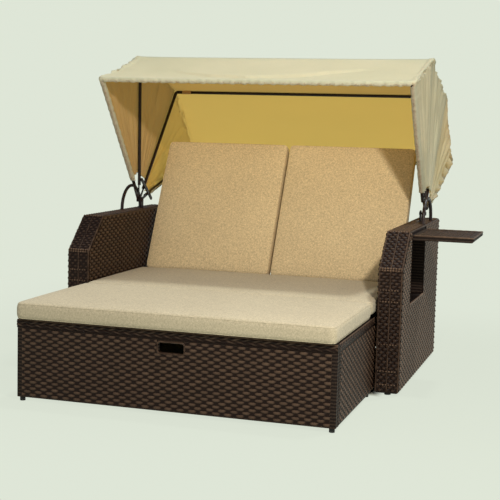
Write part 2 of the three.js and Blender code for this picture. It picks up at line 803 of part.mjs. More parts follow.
function hoopLeg(hoop, side) {
  const x = side * hoopOffset;
  const barReach = hoop.reach - clothOffset;
  const top = barReach - hoopBend - hoopSleeveLength - fitGap;
  const tube = rodAlongY(hoopTang, top, x, 0, hoopRadius);
  const layer = x + side * hoop.layerShare * hoopTangSpacing;
  const half = hoopTangWidth / 2;
  const shape = new THREE.Shape();
  shape.absarc(0, 0, half, Math.PI / 2, Math.PI * 1.5);
  shape.lineTo(hoopTang + half, -half + hoopRadius / 2);
  shape.lineTo(hoopTang + half, half - hoopRadius / 2);
  const tangHalf = hoopTangThickness / 2;
  const tang = plateAlongX(shape, layer - tangHalf, layer + tangHalf, 2 * roundSteps);
  const bore = rodAlongX(layer - overrun, layer + overrun, 0, 0, fanBoltRadius + fanBoltClearance);
  return cut(joined(tube, tang), bore);
}

function hoopBar(hoop) {
  const up = new THREE.Vector3(0, 1, 0);
  const barReach = hoop.reach - clothOffset;
  const foot = barReach - hoopBend - hoopSleeveLength;
  const stations = archStations(-hoopOffset, hoopOffset, foot, barReach, hoopBend, up);
  const bar = tubeThrough(stations, hoopRadius);
  const sleeves = [];
  for (const side of [-1, 1]) {
    const half = side < 0 ? stations.slice(0, bendSteps + 2) : stations.slice(bendSteps + 2).reverse();
    const end = half[half.length - 1].clone();
    end.x -= side * hoopSleeveLength;
    sleeves.push(tubeThrough([...half, end], hoopSleeveRadius));
  }
  return joined(bar, ...sleeves);
}

function addHoop(name, hoop, extra) {
  const group = fanGroup(hoop);
  for (const [label, side] of Object.entries(sides)) {
    let leg = hoopLeg(hoop, side);
    if (extra) {
      leg = joined(leg, extra(side));
    }
    place(group, `${name}_${label}_leg`, leg, darkMetal);
  }
  place(group, `${name}_bar`, hoopBar(hoop), darkMetal);
  return group;
}

// Stud on each rear leg, which drops into the open end of the stay
function rearStud(side) {
  const start = side * (hoopOffset - hoopRadius / 2);
  const end = side * (hoopOffset - hoopRadius - studLength);
  return rodAlongX(start, end, stayLowerReach, 0, studRadius);
}

function fanPoint(angleDeg, reach) {
  const angle = THREE.MathUtils.degToRad(angleDeg);
  return new THREE.Vector2(fanAxisDepth + reach * Math.cos(angle), fanAxisHeight + reach * Math.sin(angle));
}

function stayGeometry(side) {
  const upper = fanPoint(middleHoop.angleDeg, stayUpperReach);
  const lower = fanPoint(rearHoop.angleDeg, stayLowerReach);
  const span = lower.clone().sub(upper);
  const length = span.length() + stayTail;
  const half = stayWidth / 2;
  const bar = new THREE.Shape();
  bar.absarc(0, 0, half, Math.PI / 2, Math.PI * 1.5);
  bar.lineTo(length - half, -half);
  bar.absarc(length - half, 0, half, -Math.PI / 2, Math.PI / 2);
  const bossEnd = side * (hoopOffset - hoopRadius - fitGap);
  const x0 = bossEnd - side * (studLength - fitGap - stayThickness / 2);
  const x1 = x0 + side * stayThickness;
  const turn = new THREE.Matrix4().makeRotationX(span.angle());
  const plate = plateAlongX(bar, x0, x1, 2 * roundSteps).applyMatrix4(turn).translate(0, upper.x, upper.y);
  const boss = rodAlongX(x0, bossEnd, upper.x, upper.y, stayBossRadius);
  const room = studRadius + studGap;
  const start = THREE.MathUtils.degToRad(rearHoop.angleDeg);
  const end = start + THREE.MathUtils.degToRad(studTravelDeg);
  const slot = new THREE.Shape();
  slot.absarc(0, 0, stayLowerReach + room, start, end);
  slot.absarc(0, 0, stayLowerReach - room, end, start, true);
  const before = x0 - side * overrun;
  const past = x1 + side * overrun;
  const slotCut = plateAlongX(slot, before, past, bendSteps).translate(0, fanAxisDepth, fanAxisHeight);
  const seat = rodAlongX(before, past, lower.x, lower.y, room);
  return cut(joined(plate, boss), slotCut, seat);
}

// Pivot on each arm: a plate, an ear and the bolt that carries all the hoops
function fanPivotGeometry(side) {
  const earMiddle = hoopOffset - fanEarOffset;
  const plateShape = roundedRect(earMiddle - fanPlateWidth / 2, earMiddle + fanPlateWidth / 2,
    fanAxisDepth - fanPlateLength / 2, fanAxisDepth + fanPlateLength / 2, fanPlateThickness);
  const foot = armTop + fitGap;
  const plate = plateAlongZ(plateShape, foot, foot + fanPlateThickness);
  const ear = new THREE.Shape();
  ear.moveTo(fanAxisDepth - fanEarRadius, foot);
  ear.lineTo(fanAxisDepth + fanEarRadius, foot);
  ear.lineTo(fanAxisDepth + fanEarRadius, fanAxisHeight);
  ear.absarc(fanAxisDepth, fanAxisHeight, fanEarRadius, 0, Math.PI);
  const earHalf = fanEarThickness / 2;
  const earPlate = plateAlongX(ear, earMiddle - earHalf, earMiddle + earHalf, 2 * roundSteps);
  const boltEnd = hoopOffset + hoopRadius + fitGap;
  const bolt = rodAlongX(earMiddle, boltEnd + fanHeadHeight, fanAxisDepth, fanAxisHeight, fanBoltRadius);
  const head = rodAlongX(boltEnd, boltEnd + fanHeadHeight, fanAxisDepth, fanAxisHeight, fanHeadRadius);
  const nutStart = earMiddle - earHalf - fanHeadHeight;
  const nut = rodAlongX(nutStart, earMiddle, fanAxisDepth, fanAxisHeight, fanHeadRadius, barSides / 2);
  const solid = joined(plate, earPlate, bolt, head, nut);
  return side > 0 ? solid : solid.rotateZ(Math.PI).translate(0, 2 * fanAxisDepth, 0);
}

// Guard: a tube bent into a low arch that stands on the arm
function guardGeometry(side) {
  const middle = (guardFront + guardBack) / 2;
  const half = (guardBack - guardFront) / 2;
  const foot = armTop + fitGap;
  const x = side * guardOffset;
  const stations = [new THREE.Vector3(x, guardFront, foot)];
  for (let i = 0; i <= guardSteps; i += 1) {
    const angle = Math.PI * (1 - i / guardSteps);
    const z = foot + guardFootHeight + (guardHeight - guardFootHeight) * Math.sin(angle);
    stations.push(new THREE.Vector3(x, middle + half * Math.cos(angle), z));
  }
  stations.push(new THREE.Vector3(x, guardBack, foot));
  const footTop = foot + guardFootHeight;
  const frontFoot = rodAlongZ(foot, footTop, x, guardFront, guardFootRadius);
  const rearFoot = rodAlongZ(foot, footTop, x, guardBack, guardFootRadius);
  return joined(tubeThrough(stations, guardTubeRadius), frontFoot, rearFoot);
}

function addCanopyFrame() {
  addHoop('front_hoop', frontHoop);
  addHoop('middle_hoop', middleHoop);
  addHoop('upper_hoop', upperHoop);
  addHoop('rear_hoop', rearHoop, rearStud);
  for (const [label, side] of Object.entries(sides)) {
    place(daybed, `${label}_canopy_stay`, stayGeometry(side), darkMetal);
    place(daybed, `${label}_fan_pivot`, fanPivotGeometry(side), darkMetal);
    place(daybed, `${label}_guard`, guardGeometry(side), darkMetal);
  }
}

// Place of a cloth station on a hoop: up the left leg, round the bend, over the bar and down again
function clothOutline(index, reach, inset) {
  const half = canopyHalfWidth - inset;
  const bend = hoopBend + clothOffset - inset;
  const straight = reach - inset - bend;
  const fromEnd = Math.min(index, clothStations - index);
  const sign = index > clothStations / 2 ? 1 : -1;
  if (fromEnd < clothSideRows) {
    const share = fromEnd / clothSideRows;
    return new THREE.Vector2(sign * half, clothFoot + (straight - clothFoot) * share);
  }
  if (fromEnd <= clothSideRows + clothBendRows) {
    const angle = (Math.PI / 2) * ((fromEnd - clothSideRows) / clothBendRows);
    const x = half - bend + bend * Math.cos(angle);
    return new THREE.Vector2(sign * x, straight + bend * Math.sin(angle));
  }
  const share = (fromEnd - clothSideRows - clothBendRows) / (clothRoofRows / 2);
  return new THREE.Vector2(sign * (half - bend) * (1 - share), reach - inset);
}

function hoopPlace(hoop, outline, lift) {
  const angle = THREE.MathUtils.degToRad(hoop.angleDeg);
  const y = fanAxisDepth + outline.y * Math.cos(angle) - lift * Math.sin(angle);
  const z = fanAxisHeight + outline.y * Math.sin(angle) + lift * Math.cos(angle);
  return new THREE.Vector3(outline.x, y, z);
}

// Rows of a panel: wraps round its first or last hoop in a hem, and spans to the next hoop
function clothRows(hemFirst, hemLast) {
  const wrap = [];
  const quarter = Math.PI / 2;
  wrap.push({ turn: quarter, past: clothHem });
  wrap.push({ turn: quarter, past: 0 });
  wrap.push({ turn: quarter / 2, past: 0 });
  const rows = [];
  if (hemFirst) {
    wrap.forEach((row) => rows.push({ share: 0, ...row }));
  }
  for (let i = 0; i <= clothSpanRows; i += 1) {
    rows.push({ share: i / clothSpanRows, turn: 0, past: 0 });
  }
  if (hemLast) {
    wrap.reverse().forEach((row) => rows.push({ share: 1, turn: -row.turn, past: row.past }));
  }
  return rows;
}

function clothPanel(first, second, hemFirst, hemLast) {
  const rows = clothRows(hemFirst, hemLast);
  const rowCount = rows.length - 1;
  const geometry = new THREE.BoxGeometry(clothStations, rowCount, 1, clothStations, rowCount, 1);
  const position = geometry.attributes.position;
  const chord = hoopPlace(first, new THREE.Vector2(0, first.reach), 0)
    .distanceTo(hoopPlace(second, new THREE.Vector2(0, second.reach), 0));
  for (let i = 0; i < position.count; i += 1) {
    const station = Math.round(position.getX(i) + clothStations / 2);
    const row = rows[Math.round(position.getY(i) + rowCount / 2)];
    const outer = position.getZ(i) > 0;
    const radius = outer ? clothOffset : clothOffset - clothThickness;
    const inset = clothOffset - radius * Math.cos(row.turn) + row.past;
    const lift = radius * Math.sin(row.turn);
    const a = hoopPlace(first, clothOutline(station, first.reach, inset), row.share === 0 ? lift : 0);
    const b = hoopPlace(second, clothOutline(station, second.reach, inset), row.share === 1 ? lift : 0);
    const edgeShare = clothSeamGap / chord;
    const mix = THREE.MathUtils.clamp(row.share, hemFirst ? 0 : edgeShare, hemLast ? 1 : 1 - edgeShare);
    const point = a.lerp(b, mix);
    const sagShare = 4 * row.share * (1 - row.share);
    const fromEnd = Math.min(station, clothStations - station);
    const roofShare = Math.max(0, (fromEnd - clothSideRows - clothBendRows) / (clothRoofRows / 2));
    const sideShare = Math.max(0, (clothSideRows - fromEnd) / clothSideRows);
    const fold = Math.sin(row.share * Math.PI * sideFolds) ** 2;
    const hollow = sideSag * sagShare * Math.sin(Math.PI * sideShare);
    const inward = hollow + sideFoldDepth * fold * sideShare * sagShare;
    const fromAxis = new THREE.Vector3(0, point.y - fanAxisDepth, point.z - fanAxisHeight).normalize();
    point.addScaledVector(fromAxis, -roofSag * sagShare * Math.sqrt(roofShare));
    point.x -= Math.sign(point.x) * inward;
    if (row.past > 0) {
      const wave = Math.sin((station / clothStations) * Math.PI * 2 * hemFolds);
      const ripple = (hemFoldDepth * (1 + wave)) / 2;
      point.addScaledVector(fromAxis, -ripple);
    }
    position.setXYZ(i, point.x, point.y, point.z);
  }
  geometry.deleteAttribute('normal');
  geometry.deleteAttribute('uv');
  const merged = mergeVertices(geometry);
  merged.computeVertexNormals();
  return merged;
}

function addCanopyCloth() {
  place(daybed, 'canopy_front_cloth', clothPanel(frontHoop, middleHoop, true, false), canopyCloth);
  place(daybed, 'canopy_top_cloth', clothPanel(middleHoop, upperHoop, false, false), canopyCloth);
  place(daybed, 'canopy_rear_cloth', clothPanel(upperHoop, rearHoop, false, true), canopyCloth);
}

addFootrest();
addDeck();
addArms();
addTrays();
addSeatCushions();
addBacks();
addCanopyFrame();
addCanopyCloth();

// The origin goes to the middle of the whole daybed's footprint, on the floor
daybed.updateMatrixWorld(true);
const middle = new THREE.Box3().setFromObject(daybed, true).getCenter(new THREE.Vector3());
daybed.position.set(-middle.x, -middle.y, 0);

export default daybed;
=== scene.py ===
import json
import math

import bmesh
import bpy
from bpy.props import FloatProperty, FloatVectorProperty, PointerProperty
from mathutils import Matrix, Vector, noise
from mathutils.bvhtree import BVHTree
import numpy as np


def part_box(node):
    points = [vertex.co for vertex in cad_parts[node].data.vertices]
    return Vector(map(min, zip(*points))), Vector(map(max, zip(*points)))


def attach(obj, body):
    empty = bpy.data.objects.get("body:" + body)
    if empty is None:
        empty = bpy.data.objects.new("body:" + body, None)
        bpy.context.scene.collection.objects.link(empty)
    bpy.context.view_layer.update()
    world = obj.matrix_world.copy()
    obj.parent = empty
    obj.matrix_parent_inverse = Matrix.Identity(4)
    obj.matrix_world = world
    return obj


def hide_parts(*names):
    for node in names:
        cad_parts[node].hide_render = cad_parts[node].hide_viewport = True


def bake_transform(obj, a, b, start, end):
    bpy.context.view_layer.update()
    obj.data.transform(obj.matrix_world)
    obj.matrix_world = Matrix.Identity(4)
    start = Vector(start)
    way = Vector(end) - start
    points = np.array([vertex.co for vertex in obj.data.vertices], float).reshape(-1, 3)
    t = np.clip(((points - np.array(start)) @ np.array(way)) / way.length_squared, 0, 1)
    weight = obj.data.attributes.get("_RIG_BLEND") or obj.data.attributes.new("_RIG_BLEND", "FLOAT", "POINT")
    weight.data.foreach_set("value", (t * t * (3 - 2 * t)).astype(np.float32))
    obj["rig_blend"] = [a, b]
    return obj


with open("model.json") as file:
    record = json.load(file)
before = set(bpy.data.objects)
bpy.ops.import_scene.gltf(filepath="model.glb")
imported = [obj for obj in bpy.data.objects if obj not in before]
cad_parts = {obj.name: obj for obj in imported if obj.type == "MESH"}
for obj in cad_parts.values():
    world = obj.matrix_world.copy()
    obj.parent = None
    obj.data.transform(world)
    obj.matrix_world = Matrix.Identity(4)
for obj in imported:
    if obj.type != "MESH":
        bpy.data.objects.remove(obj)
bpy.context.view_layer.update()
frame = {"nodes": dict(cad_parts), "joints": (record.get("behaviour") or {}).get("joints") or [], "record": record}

bl_info = {
    "name": "Woven Daybed",
    "version": (1, 0, 0),
    "blender": (4, 5, 0),
    "location": "View3D > Sidebar > Daybed",
    "description": "Dresses a woven garden daybed with its weave, cushions, canopy and finishes",
    "category": "Add Mesh",
}

UP = Vector((0, 0, 1))
RIGHT = Vector((1, 0, 0))
BACK = Vector((0, 1, 0))
SIDES = (("left", -1), ("right", 1))


def middle_x():
    return (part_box("left_arm")[0][0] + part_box("right_arm")[1][0]) / 2


def joint_place(name):
    """A point in the part's middle plane on the line that a joint turns about"""
    joint = next(joint for joint in frame["joints"] if joint["name"] == name)
    return Vector((middle_x(), *joint["pos_m"][1:]))


def box_of(node):
    return [Vector(corner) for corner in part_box(node)]


# ---- sizes and colours that a user would change


def number(label, default, description):
    return FloatProperty(name=label, description=description, default=default)


def length(label, default, description):
    return FloatProperty(name=label, description=description, default=default, min=0, unit="LENGTH")


def angle(label, default, description):
    start = math.radians(default)
    return FloatProperty(name=label, description=description, default=start, unit="ROTATION")


def point(label, default, description):
    return FloatVectorProperty(
        name=label, description=description, default=default, size=3, subtype="TRANSLATION", unit="LENGTH"
    )


def colour(label, default, description):
    return FloatVectorProperty(
        name=label, description=description, default=default, size=3, min=0, max=1, subtype="COLOR"
    )


class DaybedWeave(bpy.types.PropertyGroup):
    """Sizes and colours of the woven resin strands"""

    row: length("Row", 0.0132, "Height of one woven row")
    pitch: length("Stake spacing", 0.024, "Distance from one upright stake to the next")
    lift: length("Lift", 0.0023, "How far a strand rises over a stake")
    crown: length("Crown", 0.0018, "How far a strand's edges drop below its middle")
    bead: length("Edge cord", 0.0042, "Radius of the cord wrapped along each edge")
    dark: colour("Dark strand", (0.0105, 0.0036, 0.0018), "Colour of most of a strand")
    # The pale colour is both the streaks' own colour and the colour of the strands' painted highlights
    pale: colour("Pale streak", (0.165, 0.106, 0.070), "Colour of the streaks along a strand")


class DaybedCloth(bpy.types.PropertyGroup):
    """Sizes and colours of the cushions"""

    seat: colour("Seat cloth", (0.53, 0.47, 0.335), "Colour of the seat cushions")
    back: colour("Back cloth", (0.765, 0.61, 0.36), "Colour of the back cushions")
    seam: length("Seam cord", 0.0016, "Radius of the seam along a cushion's edges")
    voxel: length("Cloth step", 0.009, "Distance between the points of the padded cloth")
    cap: length("Swell", 0.009, "The furthest that a point of the cloth may move")
    pressure: number("Pressure", 3.0, "Filling pressure")


class DaybedCanopy(bpy.types.PropertyGroup):
    """Sizes and colours of the canopy cloth"""

    half_width: length("Half width", 0.738, "From the middle to the outside of the side cloth")
    offset: length("Cloth offset", 0.013, "From a hoop's middle to the outside of the cloth")
    bend: length("Hoop bend", 0.012, "Radius of a hoop's bend at its middle line")
    foot: length("Cloth foot", 0.140, "From the pivot to the lower end of the side cloth")
    front_angle: angle("Front hoop", 128.6, "Angle of the front hoop above the ground")
    middle_angle: angle("Middle hoop", 91.0, "Angle of the middle hoop above the ground")
    upper_angle: angle("Upper hoop", 48.2, "Angle of the upper rear hoop above the ground")
    rear_angle: angle("Rear hoop", 14.4, "Angle of the rear hoop above the ground")
    front_reach: length("Front reach", 0.766, "From the pivot to the outside of the front bar")
    middle_reach: length("Middle reach", 0.718, "From the pivot to the outside of the middle bar")
    upper_reach: length("Upper reach", 0.762, "From the pivot to the outside of the upper bar")
    rear_reach: length("Rear reach", 0.860, "From the pivot to the outside of the rear bar")
    sag: length("Roof sag", 0.020, "How far the roof hangs between two hoops")
    fold: length("Side folds", 0.005, "Depth of the folds in the side cloth")
    thickness: length("Thickness", 0.0012, "Thickness of the cloth")
    outside: colour("Outside", (0.92, 0.99, 0.77), "Colour of the cloth's outside")
    # The inside's golden colour is painted light: the warm light let through the cloth
    inside: colour("Inside", (0.90, 0.61, 0.24), "Colour of the cloth's inside")


class DaybedFrameFinish(bpy.types.PropertyGroup):
    """Colours of the frame, the hinges and the slats"""

    tube: colour("Tube", (0.012, 0.0055, 0.005), "Colour of the coated tubes")
    hinge: colour("Hinge", (0.30, 0.30, 0.29), "Colour of the plated hinges")
    slat: colour("Slat", (0.14, 0.07, 0.035), "Colour of the slats")
    plastic: colour("Plastic", (0.010, 0.009, 0.008), "Colour of the feet")


class DaybedStage(bpy.types.PropertyGroup):
    """The camera, the light and the ground"""

    eye: point("Eye", (1.45037, -5.24827, 1.13175), "Place of the camera")
    yaw: angle("Yaw", 17.1247, "Turn of the view to the left")
    pitch: angle("Pitch", 6.2238, "Tilt of the view downwards")
    roll: angle("Roll", 1.4866, "Roll of the view")
    lens: number("Lens", 84.925, "Focal length in millimetres")
    ground: colour("Ground", (0.735, 0.790, 0.680), "Colour of the floor and the background")
    ambient: number("Ambient", 0.42, "Strength of the light all round")
    key: number("Key light", 1.45, "Strength of the high light")
    lamp: number("Front lamp", 300, "Power of the lamp at the front right")
    lamp_place: point("Lamp place", (1.66, -2.80, 2.30), "Place of the front lamp")


# ---- shader nodes as expressions


class Field:
    """A value or colour that varies over a surface, with Python's operators"""

    def __init__(self, finish, socket):
        self.finish = finish
        self.socket = socket

    def __add__(self, other):
        return self.finish.maths("ADD", self, other)

    def __radd__(self, other):
        return self.finish.maths("ADD", other, self)

    def __sub__(self, other):
        return self.finish.maths("SUBTRACT", self, other)

    def __rsub__(self, other):
        return self.finish.maths("SUBTRACT", other, self)

    def __mul__(self, other):
        return self.finish.maths("MULTIPLY", self, other)

    def __rmul__(self, other):
        return self.finish.maths("MULTIPLY", other, self)


class Nodes:
    """The nodes of a material or a world"""

    def __init__(self, owner, output):
        owner.use_nodes = True
        self.tree = owner.node_tree
        self.tree.nodes.clear()
        self.output = self.tree.nodes.new(output)

    def feed(self, socket, value):
        if isinstance(value, Field):
            self.tree.links.new(value.socket, socket)
        elif hasattr(socket.default_value, "__len__") and len(socket.default_value) == 4:
            socket.default_value = (*value, 1)
        else:
            socket.default_value = value

    def node(self, kind, settings=None, inputs=None, output=0):
        """A node of a kind, with its settings made first and then its sockets fed"""
        node = self.tree.nodes.new(kind)
        for key, value in (settings or {}).items():
            if key == "stops":
                ramp = node.color_ramp.elements
                while len(ramp) < len(value):
                    ramp.new(0.5)
                for stop, (place, shade) in zip(ramp, value):
                    stop.position = place
                    stop.color = (*shade, 1)
            else:
                setattr(node, key, value)
        for key, value in (inputs or {}).items():
            self.feed(node.inputs[key], value)
        return Field(self, node.outputs[output])

    def maths(self, operation, first, second=0.0):
        return self.node("ShaderNodeMath", {"operation": operation}, {0: first, 1: second})

    def place(self):
        return self.node("ShaderNodeTexCoord", output="Object")

    def attribute(self, name, output="Fac"):
        return self.node("ShaderNodeAttribute", {"attribute_name": name}, output=output)

    def stretch(self, vector, scale):
        return self.node("ShaderNodeMapping", inputs={"Vector": vector, "Scale": scale})

    def speckle(self, vector, scale, detail=2.0, roughness=0.5):
        sizes = {"Vector": vector, "Scale": scale, "Detail": detail, "Roughness": roughness}
        return self.node("ShaderNodeTexNoise", inputs=sizes)

    def ramp(self, value, stops):
        return self.node("ShaderNodeValToRGB", {"stops": stops}, {"Fac": value})

    def steps(self, value, start, end, low=0, high=1):
        """Grey that goes from low to high between start and end"""
        return self.ramp(value, [(start, (low,) * 3), (end, (high,) * 3)])

    def blend(self, factor, first, second, how="MIX"):
        settings = {"data_type": "RGBA", "blend_type": how}
        return self.node("ShaderNodeMix", settings, {0: factor, 6: first, 7: second}, output=2)

    def bump(self, height, distance, strength=1.0):
        sizes = {"Height": height, "Distance": distance, "Strength": strength}
        return self.node("ShaderNodeBump", inputs=sizes)

    def plain(self, kind, shade, **sizes):
        """A shader of one colour"""
        shader = self.tree.nodes.new(kind)
        for key, value in {"Color": tuple(shade), **sizes}.items():
            self.feed(shader.inputs[key], value)
        return shader

    def show(self, factor, first, second):
        """Shows a mix of two shaders"""
        mixed = self.tree.nodes.new("ShaderNodeMixShader")
        self.feed(mixed.inputs[0], factor)
        for index, shader in enumerate((first, second), 1):
            self.tree.links.new(shader.outputs[0], mixed.inputs[index])
        self.tree.links.new(mixed.outputs[0], self.output.inputs[0])


class Finish(Nodes):
    """One material: a surface shader and the nodes that feed it"""

    def __init__(self, name, **settings):
        self.material = bpy.data.materials.new(name)
        super().__init__(self.material, "ShaderNodeOutputMaterial")
        self.shader = self.tree.nodes.new("ShaderNodeBsdfPrincipled")
        self.tree.links.new(self.shader.outputs[0], self.output.inputs[0])
        self.surface(**settings)

    def surface(self, **links):
        for socket, value in links.items():
            self.feed(self.shader.inputs[socket.replace("_", " ")], value)
        return self.material

    def grained(self, grain, dark, pale, mix=None, rough=None, bump=None, relief=None):
        """Lets one grain drive the colour, the roughness and, without a relief, the bumps"""
        links = {"Base_Color": self.blend(self.steps(grain, *mix) if mix else grain, dark, pale)}
        if rough:
            links["Roughness"] = self.steps(grain, *rough)
        if bump:
            links["Normal"] = self.bump(relief or grain, *bump)
        return self.surface(**links)


def kept(name, maker):
    """The material of this name, made once"""
    return bpy.data.materials.get(name) or maker(name)


def toned(shade, factor):
    return tuple(min(1, part * factor) for part in shade)


def strand_finish(name):
    weave = bpy.context.scene.daybed_weave
    finish = Finish(name, Specular_IOR_Level=0.17)
    tone = finish.attribute("tone")
    run = finish.attribute("run", "Vector")
    streak = finish.speckle(finish.stretch(run, (38, 620, 1)), 1.0, detail=3.0, roughness=0.6)
    # The tone attribute holds each strand's random tone with its painted highlights and painted shade, and the
    # pale colour paints those highlights
    amount = finish.steps(streak * 0.40 + tone * 0.60, 0.46, 0.98)
    shade = finish.blend(amount, tuple(weave.dark), tuple(weave.pale))
    rough = finish.steps(streak, 0.3, 0.8, 0.38, 0.6)
    return finish.surface(Base_Color=shade, Roughness=rough, Normal=finish.bump(streak, 0.0004, 0.5))


def wrap_finish(name):
    weave = bpy.context.scene.daybed_weave
    finish = Finish(name, Roughness=0.6, Specular_IOR_Level=0.2)
    place = finish.place()
    sizes = {"Vector": place, "Scale": 24.0, "Distortion": 0.6, "Detail": 1.0}
    turns = finish.node("ShaderNodeTexWave", {"bands_direction": "Z"}, sizes)
    grain = finish.speckle(place, 160.0, detail=3.0)
    amount = finish.steps(grain * 0.6 + turns * 0.4, 0.45, 0.85)
    shade = finish.blend(amount, toned(weave.dark, 0.7), toned(weave.pale, 0.32))
    return finish.surface(Base_Color=shade, Normal=finish.bump(turns, 0.0012, 0.6))


def coat_finish(name):
    tube = tuple(bpy.context.scene.daybed_frame.tube)
    finish = Finish(name, Specular_IOR_Level=0.3, Coat_Weight=0.05, Coat_Roughness=0.3)
    grain = finish.speckle(finish.place(), 900.0)
    wear = finish.speckle(finish.place(), 22.0, detail=4.0)
    rough = (0.3, 0.75, 0.34, 0.5)
    return finish.grained(wear, tube, toned(tube, 2.4), (0.5, 0.8), rough, (0.0002, 0.4), relief=grain)


def plated_finish(name):
    hinge = tuple(bpy.context.scene.daybed_frame.hinge)
    finish = Finish(name, Metallic=0.9)
    flake = finish.speckle(finish.place(), 260.0)
    rough = (0.3, 0.8, 0.34, 0.52)
    return finish.grained(flake, hinge, (0.42, 0.42, 0.4), (0.35, 0.7), rough, (0.0001, 0.3))


def slat_finish(name):
    slat = tuple(bpy.context.scene.daybed_frame.slat)
    finish = Finish(name, Specular_IOR_Level=0.35)
    along = finish.stretch(finish.place(), (26, 2.2, 26))
    grain = finish.speckle(along, 4.0, detail=5.0, roughness=0.65)
    rough = (0.2, 0.9, 0.62, 0.78)
    return finish.grained(grain, toned(slat, 0.45), slat, (0.35, 0.68), rough, (0.0005, 0.5))


def plastic_finish(name):
    plastic = tuple(bpy.context.scene.daybed_frame.plastic)
    finish = Finish(name)
    grain = finish.speckle(finish.place(), 700.0)
    rough = (0.3, 0.8, 0.5, 0.68)
    return finish.grained(grain, plastic, toned(plastic, 2.5), rough=rough, bump=(0.0002, 0.4))


def tie_finish(name):
    finish = Finish(name, Roughness=0.85, Specular_IOR_Level=0.2)
    grain = finish.speckle(finish.place(), 900.0)
    return finish.grained(grain, (0.55, 0.52, 0.44), (0.86, 0.84, 0.76), bump=(0.0004, 0.5))


def clip_finish(name):
    finish = Finish(name, Specular_IOR_Level=0.4)
    grain = finish.speckle(finish.place(), 300.0)
    return finish.grained(grain, (0.42, 0.22, 0.09), (0.62, 0.40, 0.20), rough=(0.3, 0.8, 0.4, 0.6))


def cushion_finish(name):
    """Plain woven upholstery cloth: two crossing sets of slubbed yarns"""
    kind, contrast = ("seat", 0.26) if name.startswith("seat") else ("back", 0.32)
    shade = getattr(bpy.context.scene.daybed_cloth, kind)
    finish = Finish(name, Roughness=0.93, Specular_IOR_Level=0.12, Sheen_Weight=0.12, Sheen_Roughness=0.6)
    place = finish.place()
    across = finish.speckle(finish.stretch(place, (150, 1250, 1250)), 1.0)
    along = finish.speckle(finish.stretch(place, (1250, 150, 150)), 1.0)
    grain = finish.speckle(place, 420.0, roughness=0.7)
    fleck = finish.speckle(place, 125.0, detail=4.0, roughness=0.85)
    cloud = finish.speckle(place, 3.2, detail=3.0)
    yarn = across * 0.22 + along * 0.22 + grain * 0.12 + fleck * 0.44
    mix = finish.steps(yarn, 0.38, 0.62)
    woven = finish.blend(mix, toned(shade, 1 - contrast * 1.5), toned(shade, 1 + contrast))
    soil = finish.ramp(cloud, [(0.3, (0.35, 0.3, 0.24)), (0.7, (1, 1, 1))])
    wear_and_painted_light = finish.blend(0.10, woven, soil, "MULTIPLY")
    return finish.surface(Base_Color=wear_and_painted_light, Normal=finish.bump(yarn, 0.0007, 0.45))


# What a canopy cloth's corners are marked with, for its finish
CLOTH_MARKS = ("hem", "seam", "flank")
# Per canopy cloth: its colour, the share of light let through and that light's colour, where it isn't
# the cloth's, the seam's painted shade, and the side panels' darker tint and dimming, which are painted shade
CANVAS = {
    "canopy_outside": ("outside", 0.46, None, 0.8, (0.80, 0.77, 0.77), 0.10),
    "canopy_inside": ("inside", 0.62, None, 0.2, (0.66, 0.70, 0.95), 0.18),
    "canopy_rear_outside": ("outside", 0.64, (1, 0.97, 0.84), 0.3, (0.90, 0.87, 0.88), 0.07),
    "canopy_rear_inside": ("inside", 0.93, (1, 0.74, 0.20), 0.2, (0.85, 0.80, 0.95), 0.07),
}


def canvas_finish(name):
    """Thin canvas that lets some light through, with painted shade along its seams and in its bunches' hollows,
    and side panels darkened as painted shade
    """
    kind, through, glow, painted_seam_shade, flank_painted_shade, dim = CANVAS[name]
    shade = tuple(getattr(bpy.context.scene.daybed_canopy, kind))
    finish = Finish(name, Roughness=0.9, Specular_IOR_Level=0.12)
    place = finish.place()
    yarn = finish.speckle(place, 520.0, roughness=0.7)
    cloud = finish.speckle(place, 2.4, detail=4.0)
    crease = finish.speckle(finish.stretch(place, (14, 5, 9)), 1.0, detail=5.0, roughness=0.6)
    hem, seam, flank = (finish.attribute(mark) for mark in CLOTH_MARKS)
    mix = finish.steps(yarn * 0.5 + cloud * 0.5, 0.36, 0.66)
    cloth = finish.blend(mix, toned(shade, 0.86), toned(shade, 1.06))
    # The seam mark darkens the cloth: painted shade along the bend's seam and in the rear hem's bunches
    cloth = finish.blend(seam, cloth, toned(shade, painted_seam_shade))
    frayed = [(0.40, (0.60, 0.42, 0.30)), (0.5, (0.90, 0.83, 0.70))]
    stitch = finish.ramp(finish.speckle(place, 95.0, detail=3.0), frayed)
    # On the side panels the stitches and the cloth are darkened: painted shade
    stitch = finish.blend(flank, stitch, (0.72, 0.62, 0.58), "MULTIPLY")
    base = finish.blend(hem, finish.blend(flank, cloth, flank_painted_shade, "MULTIPLY"), stitch)
    finish.surface(Base_Color=base, Normal=finish.bump(crease * 0.8 + yarn * 0.2, 0.004, 0.35))
    light = tuple((part * 0.96 + other) / 2 for part, other in zip(shade, glow or shade))
    behind = finish.plain("ShaderNodeBsdfTranslucent", light)
    finish.show(through - flank * (through * dim), finish.shader, behind)
    return finish.material


# ---- mesh helpers


def placed(name, mesh):
    """A new object of a bmesh, at the origin"""
    data = bpy.data.meshes.new(name)
    mesh.to_mesh(data)
    mesh.free()
    piece = bpy.data.objects.new(name, data)
    bpy.context.scene.collection.objects.link(piece)
    return piece


def smoothed(piece):
    piece.data.polygons.foreach_set("use_smooth", [True] * len(piece.data.polygons))


def finished(name, mesh, material, body):
    """An object of a bmesh that rides on a body"""
    piece = placed(name, mesh)
    piece.data.materials.append(material)
    smoothed(piece)
    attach(piece, body)


